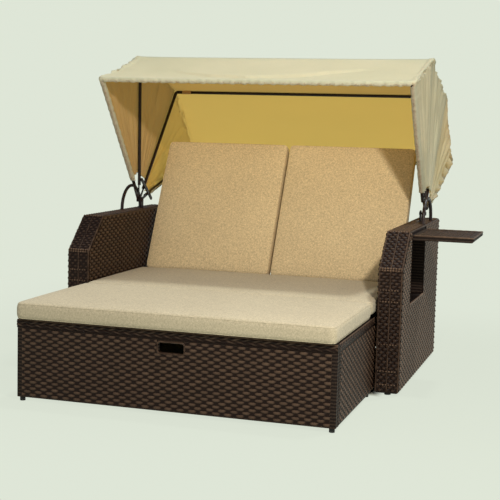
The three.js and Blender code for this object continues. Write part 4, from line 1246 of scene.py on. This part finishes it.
class Canopy:
    """Cloth between two hoops, with its sag, its folds and its hems"""

    def __init__(self, first, second, hem):
        self.first = hoop(first)
        self.second = hoop(second)
        self.peaks = (CORNER_PEAKS[first], CORNER_PEAKS[second])
        self.hem = hem
        self.seed = self.first[0] * 7
        self.centre = joint_place("front_hoop_fold")
        self.settings = bpy.context.scene.daybed_canopy
        side = [i / SIDE_STEPS for i in range(SIDE_STEPS)]
        bend = [1 + i / BEND_STEPS for i in range(BEND_STEPS)]
        roof = [2 + i / ROOF_STEPS for i in range(ROOF_STEPS + 1)]
        half = side + bend + roof
        self.shares = [(-1, share) for share in half] + [(1, share) for share in reversed(half[:-1])]
        self.rows = self.make_rows()

    def make_rows(self):
        steps = 60 if self.hem == "first" else 44
        spans = [(i / steps, 0.0) for i in range(steps + 1)]
        wrap = [(0.0, math.radians(turn)) for turn in HEM_TURNS]
        if self.hem == "first":
            return wrap + spans
        if self.hem == "second":
            return spans + [(1.0, -turn) for _, turn in reversed(wrap)]
        return spans

    def along(self, share):
        """Metres along the outline"""
        return share * SIDE_RUN if share < 2 else 2 * SIDE_RUN + (share - 2) * ROOF_RUN

    def gather(self, sign, share):
        run = self.along(share)
        swell = 1.0 + 0.5 * noise.noise(Vector((run * 6, sign * 3, self.seed)))
        coarse = math.sin(run * 128 + sign + 1.6 * noise.noise(Vector((run * 9, sign, 4))))
        return swell * (coarse + 0.55 * math.sin(run * 215 + 2.2 * sign))

    def spot(self, i, j):
        sign, share = self.shares[i]
        row, turn = self.rows[j]
        settings = self.settings
        radius = settings.offset
        if turn:
            depth = ROOF_GATHER if share > CORNER else SIDE_GATHER
            radius += depth * self.gather(sign, share) * min(1.0, abs(turn) * 2)
        inset = settings.offset - radius * math.cos(turn)
        lift = radius * math.sin(turn)
        points = []
        for (angle_, reach), end in ((self.first, row == 0), (self.second, row == 1)):
            x, out = outline_point(share, reach, inset)
            along = Vector((0, math.cos(angle_), math.sin(angle_)))
            past = Vector((0, -math.sin(angle_), math.cos(angle_)))
            points.append(self.centre + along * out + past * (lift if end else 0) + RIGHT * (sign * x))
        point = points[0].lerp(points[1], row) + self.peak(sign, share, row)
        return point if turn else point + self.slack(point, sign, share, row)

    def peak(self, sign, share, row):
        """How far the cloth is drawn out where a hoop's corner pushes into it"""
        near = hump(share, CORNER, 0.42)
        rise = 0.0
        for heights, far in zip(self.peaks, (row, 1 - row)):
            rise += heights[sign > 0] * near * hump(far, 0, 0.14)
        return Vector((sign * rise, 0, rise * 0.8))

    def slack(self, point, sign, share, row):
        """How the cloth leaves the straight line between its hoops"""
        between = 4 * row * (1 - row)
        out = point - self.centre
        out.x = 0
        reach = out.length
        out.normalize()
        aside = RIGHT * sign
        roof = max(0.0, min(1.0, share - 1.85))
        shift = out * (-self.settings.sag * between * min(1.0, roof * 3) ** 0.5)
        side = max(0.0, 1 - max(0.0, share - 0.9) / 0.6)
        if side > 0:
            shift -= aside * (self.side_folds(sign, share, row, reach) * side)
        if share > CORNER:
            shift += out * self.roof_folds(point.x, row)
        corner = max(0.0, 1 - ((share - 1.4) / 0.75) ** 2)
        crumple = noise.noise(Vector((row * 6.5, share * 2.2, self.seed + sign * 9)))
        crumple += 0.7 * noise.noise(Vector((row * 14, share * 4.0, self.seed + sign * 4)))
        crumple += 0.5 * noise.noise(Vector((row * 27, share * 6.0, self.seed - sign * 2)))
        shift += (out + aside) * (CRUMPLE * corner * crumple * min(1.0, between * 2.5))
        if abs(share - CORNER) < 0.16:
            shift += (out + aside) * RIDGE
        return shift + self.hem_folds(sign, share, row, out, aside)

    def side_folds(self, sign, share, row, reach):
        fold = self.settings.fold
        between = 4 * row * (1 - row)
        broad = math.sin(row * math.pi * 3.2 + reach * 3 + sign) * 0.7
        broad += noise.noise(Vector((row * 9, reach * 3.0, self.seed + sign * 5)))
        pull = (broad + 1) * fold * between * (0.35 + 0.65 * math.sin(math.pi * min(1, share)))
        streak = noise.noise(Vector((row * 15, reach * 2.4, self.seed + sign * 2)))
        streak += 0.6 * noise.noise(Vector((row * 31, reach * 3.8, self.seed - sign)))
        return pull + streak * STREAK * between ** 0.5

    def roof_folds(self, x, row):
        between = 4 * row * (1 - row)
        ripple = noise.noise(Vector((x * 2.6, row * 3.0, self.seed)))
        ripple += 0.35 * noise.noise(Vector((x * 9, row * 6.0, self.seed + 3)))
        height = -RIPPLE * ripple * between
        if self.hem == "first":
            ends = max(0.0, 1 - (abs(x - self.centre.x - 0.02) / 0.50) ** 4)
            across = (row - between_points(x - self.centre.x, ROOF_CREASE)) / 0.030
            height += CREASE * ends * across * math.exp(0.5 - across * across / 2)
        return height

    def hem_folds(self, sign, share, row, out, aside):
        """Small gathers that run into the cloth from its hem"""
        if self.hem == "none":
            return Vector()
        near = row if self.hem == "first" else 1 - row
        if self.hem == "second" and share < BUNCH_END:
            wave = -BUNCH * self.bunch(sign, share) * hump(near, BUNCH_PLACE, 0.07)
            return aside * (wave * min(1.0, near * 20))
        wave = self.gather(sign, share) * HEM_FOLD * math.exp(-near * 9) * min(1.0, near * 20)
        return (out if share > CORNER else aside) * wave

    def bunch(self, sign, share):
        """Where the rear hem's side is drawn into bunches: above zero in the hollows"""
        run = self.along(share)
        return math.sin(run * 52 + sign + 1.4 * noise.noise(Vector((run * 5, sign, 9)))) - 0.1

    def note(self, hem, seam, flank):
        """Marks the stitched middle of the hem, the seam along each bend and the hollows of the rear hem's bunches
        for painted shade, a pale line beside each seam for a painted highlight, and the side panels for their
        painted shade
        """
        def mark(corner, i, j):
            share = self.shares[i][1]
            turn = abs(math.degrees(self.rows[j][1]))
            corner[hem] = max(0.0, 1 - abs(turn - 95) / 55) if turn else 0.0
            # the seam along the bend is darkened: painted shade
            corner[seam] = 1.0 if abs(share - CORNER) < 0.02 else 0.0
            # the hollows of the rear hem's bunches are darkened: painted shade
            if self.hem == "second" and share < BUNCH_END and not turn:
                near = 1 - self.rows[j][0]
                hollow = max(0.0, self.bunch(self.shares[i][0], share))
                corner[seam] = min(1.0, 1.6 * hollow * hump(near, BUNCH_PLACE, 0.05))
            corner[flank] = 1.0 if share < 1.45 else 0.0
            # a pale line beside the seam: painted highlight
            if abs(share - 1.7) < 0.02:
                corner[hem] = max(corner[hem], 0.5)
        return mark


class DAYBED_OT_canopy_cloth(bpy.types.Operator):
    """Stretch the three panels of the canopy over the hoops"""

    bl_idname = "daybed.canopy_cloth"
    bl_label = "Hang the canopy"

    def execute(self, context):
        self.panel("canopy_front_cloth", "front", "middle", "first", "front_hoop", "base")
        self.panel("canopy_top_cloth", "middle", "upper", "none", "base", "upper_hoop")
        self.panel("canopy_rear_cloth", "upper", "rear", "second", "upper_hoop", "rear_hoop")
        return {"FINISHED"}

    def panel(self, node, first, second, hem, body_first, body_second):
        settings = bpy.context.scene.daybed_canopy
        canopy = Canopy(first, second, hem)
        mesh = bmesh.new()
        for layer in CLOTH_MARKS:
            mesh.verts.layers.float.new(layer)
        mark = canopy.note(*(mesh.verts.layers.float[layer] for layer in CLOTH_MARKS))
        shape_grid(mesh, len(canopy.shares) - 1, len(canopy.rows) - 1, canopy.spot, mark)
        bmesh.ops.recalc_face_normals(mesh, faces=mesh.faces)
        mesh.faces.ensure_lookup_table()
        middle = max(mesh.faces, key=lambda face: face.calc_center_median().z)
        if middle.normal.dot(middle.calc_center_median() - canopy.centre) < 0:
            bmesh.ops.reverse_faces(mesh, faces=mesh.faces)
        piece = placed(node + "_panel", mesh)
        area = sum(face.area for face in piece.data.polygons)
        start = "canopy_rear" if hem == "second" else "canopy"
        for face in ("outside", "inside"):
            piece.data.materials.append(kept(f"{start}_{face}", canvas_finish))
        made_of(piece, SOLIDIFY={"thickness": settings.thickness, "offset": -1, "material_offset": 1})
        smoothed(piece)
        width = 2 * sum(outline_run(canopy.first[1], 0))
        half_turn = (canopy.first[0] + canopy.second[0]) / 2
        spread = Vector((0, -math.sin(half_turn), math.cos(half_turn))) * 0.17
        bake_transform(piece, body_first, body_second, canopy.centre + spread, canopy.centre - spread)
        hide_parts(node)
        area / width * 1.5


class DAYBED_OT_canopy_fittings(bpy.types.Operator):
    """Add the tie loops at the canopy's front corners and the clips round the upper bar"""

    bl_idname = "daybed.canopy_fittings"
    bl_label = "Add the ties"

    def execute(self, context):
        settings = context.scene.daybed_canopy
        centre = joint_place("front_hoop_fold")
        turn, _ = hoop("front")
        foot = centre + Vector((0, math.cos(turn), math.sin(turn))) * (settings.foot - 0.006)
        turn, reach = hoop("upper")
        along = Vector((0, math.cos(turn), math.sin(turn)))
        loop, clip = 0.0115, 0.0098
        for label, side in SIDES:
            mesh = bmesh.new()
            middle = foot + RIGHT * (side * (settings.half_width - settings.offset))
            turns = [i * math.pi / 8 for i in range(16)]
            ring = [middle + Vector((loop * math.cos(turn), loop * math.sin(turn), 0)) for turn in turns]
            tube_along(mesh, ring, 0.0026, 8)
            finished(f"{label}_tie_loop", mesh, kept("tie_cord", tie_finish), "front_hoop")
            mesh = bmesh.new()
            bar = centre + along * (reach - settings.offset)
            bar += RIGHT * (side * (settings.half_width - 0.075))
            turned = Matrix.Translation(bar) @ Matrix.Rotation(math.pi / 2, 4, "Y")
            bmesh.ops.create_cone(
                mesh, cap_ends=True, segments=24, radius1=clip, radius2=clip, depth=0.05, matrix=turned
            )
            rims = [edge for edge in mesh.edges if any(len(face.verts) > 4 for face in edge.link_faces)]
            bmesh.ops.bevel(
                mesh, geom=rims, offset=0.0015, segments=2, profile=0.5, affect="EDGES", material=-1
            )
            finished(f"{label}_bar_clip", mesh, kept("bar_clip", clip_finish), "upper_hoop")
        return {"FINISHED"}


# ---- finishes of the pieces that keep their own shape


SLOT_FINISHES = {
    "wicker": ("wrapped_panel", wrap_finish),
    "frame_metal": ("coated_tube", coat_finish),
    "hinge_steel": ("plated_hinge", plated_finish),
    "slats": ("stained_slat", slat_finish),
    "foot_plastic": ("foot_plastic", plastic_finish),
    "seat_cloth": ("seat_cloth_cover", cushion_finish),
    "back_cloth": ("back_cloth_cover", cushion_finish),
    "canopy_cloth": ("canopy_outside", canvas_finish),
}


class DAYBED_OT_frame_finishes(bpy.types.Operator):
    """Finish the frame, the hinges, the slats, the feet and the panels behind the weave"""

    bl_idname = "daybed.frame_finishes"
    bl_label = "Finish the frame"

    def execute(self, context):
        for part in frame["record"]["subparts"]:
            node = frame["nodes"][part["node"]]
            name, maker = SLOT_FINISHES[part["material_slot"]]
            for slot in node.material_slots:
                slot.material = kept(name, maker)
        return {"FINISHED"}


# ---- the stage


class DAYBED_OT_stage(bpy.types.Operator):
    """Set the ground, the light and the camera"""

    bl_idname = "daybed.stage"
    bl_label = "Set the stage"

    def execute(self, context):
        settings = context.scene.daybed_stage
        self.floor(settings)
        self.world(settings)
        self.lights(settings)
        self.camera(settings)
        context.scene.view_settings.view_transform = "Standard"
        return {"FINISHED"}

    def camera_ray(self, finish):
        """One for what the camera sees, also through glass and in a mirror"""
        kinds = ("Is Camera Ray", "Is Glossy Ray", "Is Transmission Ray")
        seen, glossy, through = (finish.node("ShaderNodeLightPath", output=kind) for kind in kinds)
        return finish.maths("MAXIMUM", seen, glossy + through)

    def remap(self, finish, value, start, end, low, high):
        settings = {"interpolation_type": "SMOOTHSTEP"}
        sizes = {"Value": value, "From Min": start, "From Max": end, "To Min": low, "To Max": high}
        return finish.node("ShaderNodeMapRange", settings, sizes)

    def clear_of_base(self, finish):
        """The distance outside the floor between the arms, which the base covers at every pose"""
        left, right = box_of("left_arm"), box_of("right_arm")
        place = finish.place()
        gaps = []
        for axis, start, end in (("X", left[1].x, right[0].x), ("Y", left[0].y, right[1].y)):
            here = finish.node("ShaderNodeSeparateXYZ", inputs={0: place}, output=axis)
            gaps.append(finish.maths("ABSOLUTE", here - (start + end) / 2) - (end - start) / 2)
        return finish.maths("MAXIMUM", *gaps)

    def floor(self, settings):
        mesh = bmesh.new()
        bmesh.ops.create_grid(mesh, x_segments=1, y_segments=1, size=40.0)
        floor = placed("floor", mesh)
        finish = Finish("pale_ground", Roughness=1.0, Specular_IOR_Level=0.0)
        gap = self.clear_of_base(finish)
        outside = self.remap(finish, gap, -0.03, -0.006, 0.0, 1.0)
        # Under the base the floor is darkened almost to black: painted shade
        painted_shade_under_base, lit = toned(settings.ground, 0.04), toned(settings.ground, 0.62)
        finish.surface(Base_Color=finish.blend(outside, painted_shade_under_base, lit))
        near = self.remap(finish, gap, -0.02, 0.04, 0.0, 0.88)
        far = self.remap(finish, gap, 0.2, 1.8, 0.0, 0.12)
        flat = finish.plain("ShaderNodeEmission", settings.ground)
        finish.show(self.camera_ray(finish) * (near + far), finish.shader, flat)
        floor.data.materials.append(finish.material)

    def world(self, settings):
        world = bpy.data.worlds.new("soft_room")
        bpy.context.scene.world = world
        nodes = Nodes(world, "ShaderNodeOutputWorld")
        light = nodes.plain("ShaderNodeBackground", (1, 0.985, 0.955), Strength=settings.ambient)
        seen = nodes.plain("ShaderNodeBackground", settings.ground)
        nodes.show(nodes.node("ShaderNodeLightPath", output="Is Camera Ray"), light, seen)

    def lamp(self, name, kind, energy, place, direction, tint, **sizes):
        data = bpy.data.lights.new(name, kind)
        data.energy = energy
        data.color = tint
        for key, value in sizes.items():
            setattr(data, key, value)
        lamp = bpy.data.objects.new(name, data)
        lamp.location = place
        lamp.rotation_euler = Vector(direction).to_track_quat("-Z", "Y").to_euler()
        bpy.context.scene.collection.objects.link(lamp)

    def lights(self, settings):
        high, down = (0, 0, 4), (0, 0, -1)
        self.lamp("key_light", "SUN", settings.key, high, (-0.22, -0.27, -1), (0.96, 1, 0.97), angle=0.09)
        self.lamp(
            "front_lamp", "POINT", settings.lamp, settings.lamp_place, down, (1, 0.91, 0.80),
            shadow_soft_size=0.10,
        )

    def camera(self, settings):
        data = bpy.data.cameras.new("camera")
        data.sensor_width = 36
        data.lens = settings.lens
        camera = bpy.data.objects.new("camera", data)
        yaw, pitch, roll = settings.yaw, settings.pitch, settings.roll
        level = Vector((-math.sin(yaw), math.cos(yaw), 0))
        forward = level * math.cos(pitch) - UP * math.sin(pitch)
        right = Vector((math.cos(yaw), math.sin(yaw), 0))
        up = right.cross(forward)
        across = right * math.cos(roll) + up * math.sin(roll)
        rise = up * math.cos(roll) - right * math.sin(roll)
        matrix = Matrix((across, rise, -forward)).transposed().to_4x4()
        matrix.translation = Vector(settings.eye)
        camera.matrix_world = matrix
        bpy.context.scene.collection.objects.link(camera)
        bpy.context.scene.camera = camera


class DAYBED_PT_panel(bpy.types.Panel):
    """The daybed's sizes, and a button for each of its steps"""

    bl_label = "Woven daybed"
    bl_space_type = "VIEW_3D"
    bl_region_type = "UI"
    bl_category = "Daybed"

    def draw(self, context):
        scene = context.scene
        for group in GROUPS:
            box = self.layout.box()
            for name in GROUPS[group].__annotations__:
                box.prop(getattr(scene, group), name)
        for step in STEPS:
            self.layout.operator(step.bl_idname)


STEPS = (
    DAYBED_OT_stage,
    DAYBED_OT_frame_finishes,
    DAYBED_OT_arm_weave,
    DAYBED_OT_pocket_edges,
    DAYBED_OT_footrest_weave,
    DAYBED_OT_base_weave,
    DAYBED_OT_back_weave,
    DAYBED_OT_tray_weave,
    DAYBED_OT_seat_cushions,
    DAYBED_OT_back_cushions,
    DAYBED_OT_canopy_cloth,
    DAYBED_OT_canopy_fittings,
)

GROUPS = {
    "daybed_weave": DaybedWeave,
    "daybed_cloth": DaybedCloth,
    "daybed_canopy": DaybedCanopy,
    "daybed_frame": DaybedFrameFinish,
    "daybed_stage": DaybedStage,
}


def register():
    for name, group in GROUPS.items():
        bpy.utils.register_class(group)
        setattr(bpy.types.Scene, name, PointerProperty(type=group))
    for step in STEPS:
        bpy.utils.register_class(step)
    bpy.utils.register_class(DAYBED_PT_panel)


def unregister():
    bpy.utils.unregister_class(DAYBED_PT_panel)
    for step in reversed(STEPS):
        bpy.utils.unregister_class(step)
    for name, group in reversed(GROUPS.items()):
        delattr(bpy.types.Scene, name)
        bpy.utils.unregister_class(group)


def main():
    register()
    for step in STEPS:
        family, action = step.bl_idname.split(".")
        getattr(getattr(bpy.ops, family), action)()


if __name__ == "__main__":
    main()
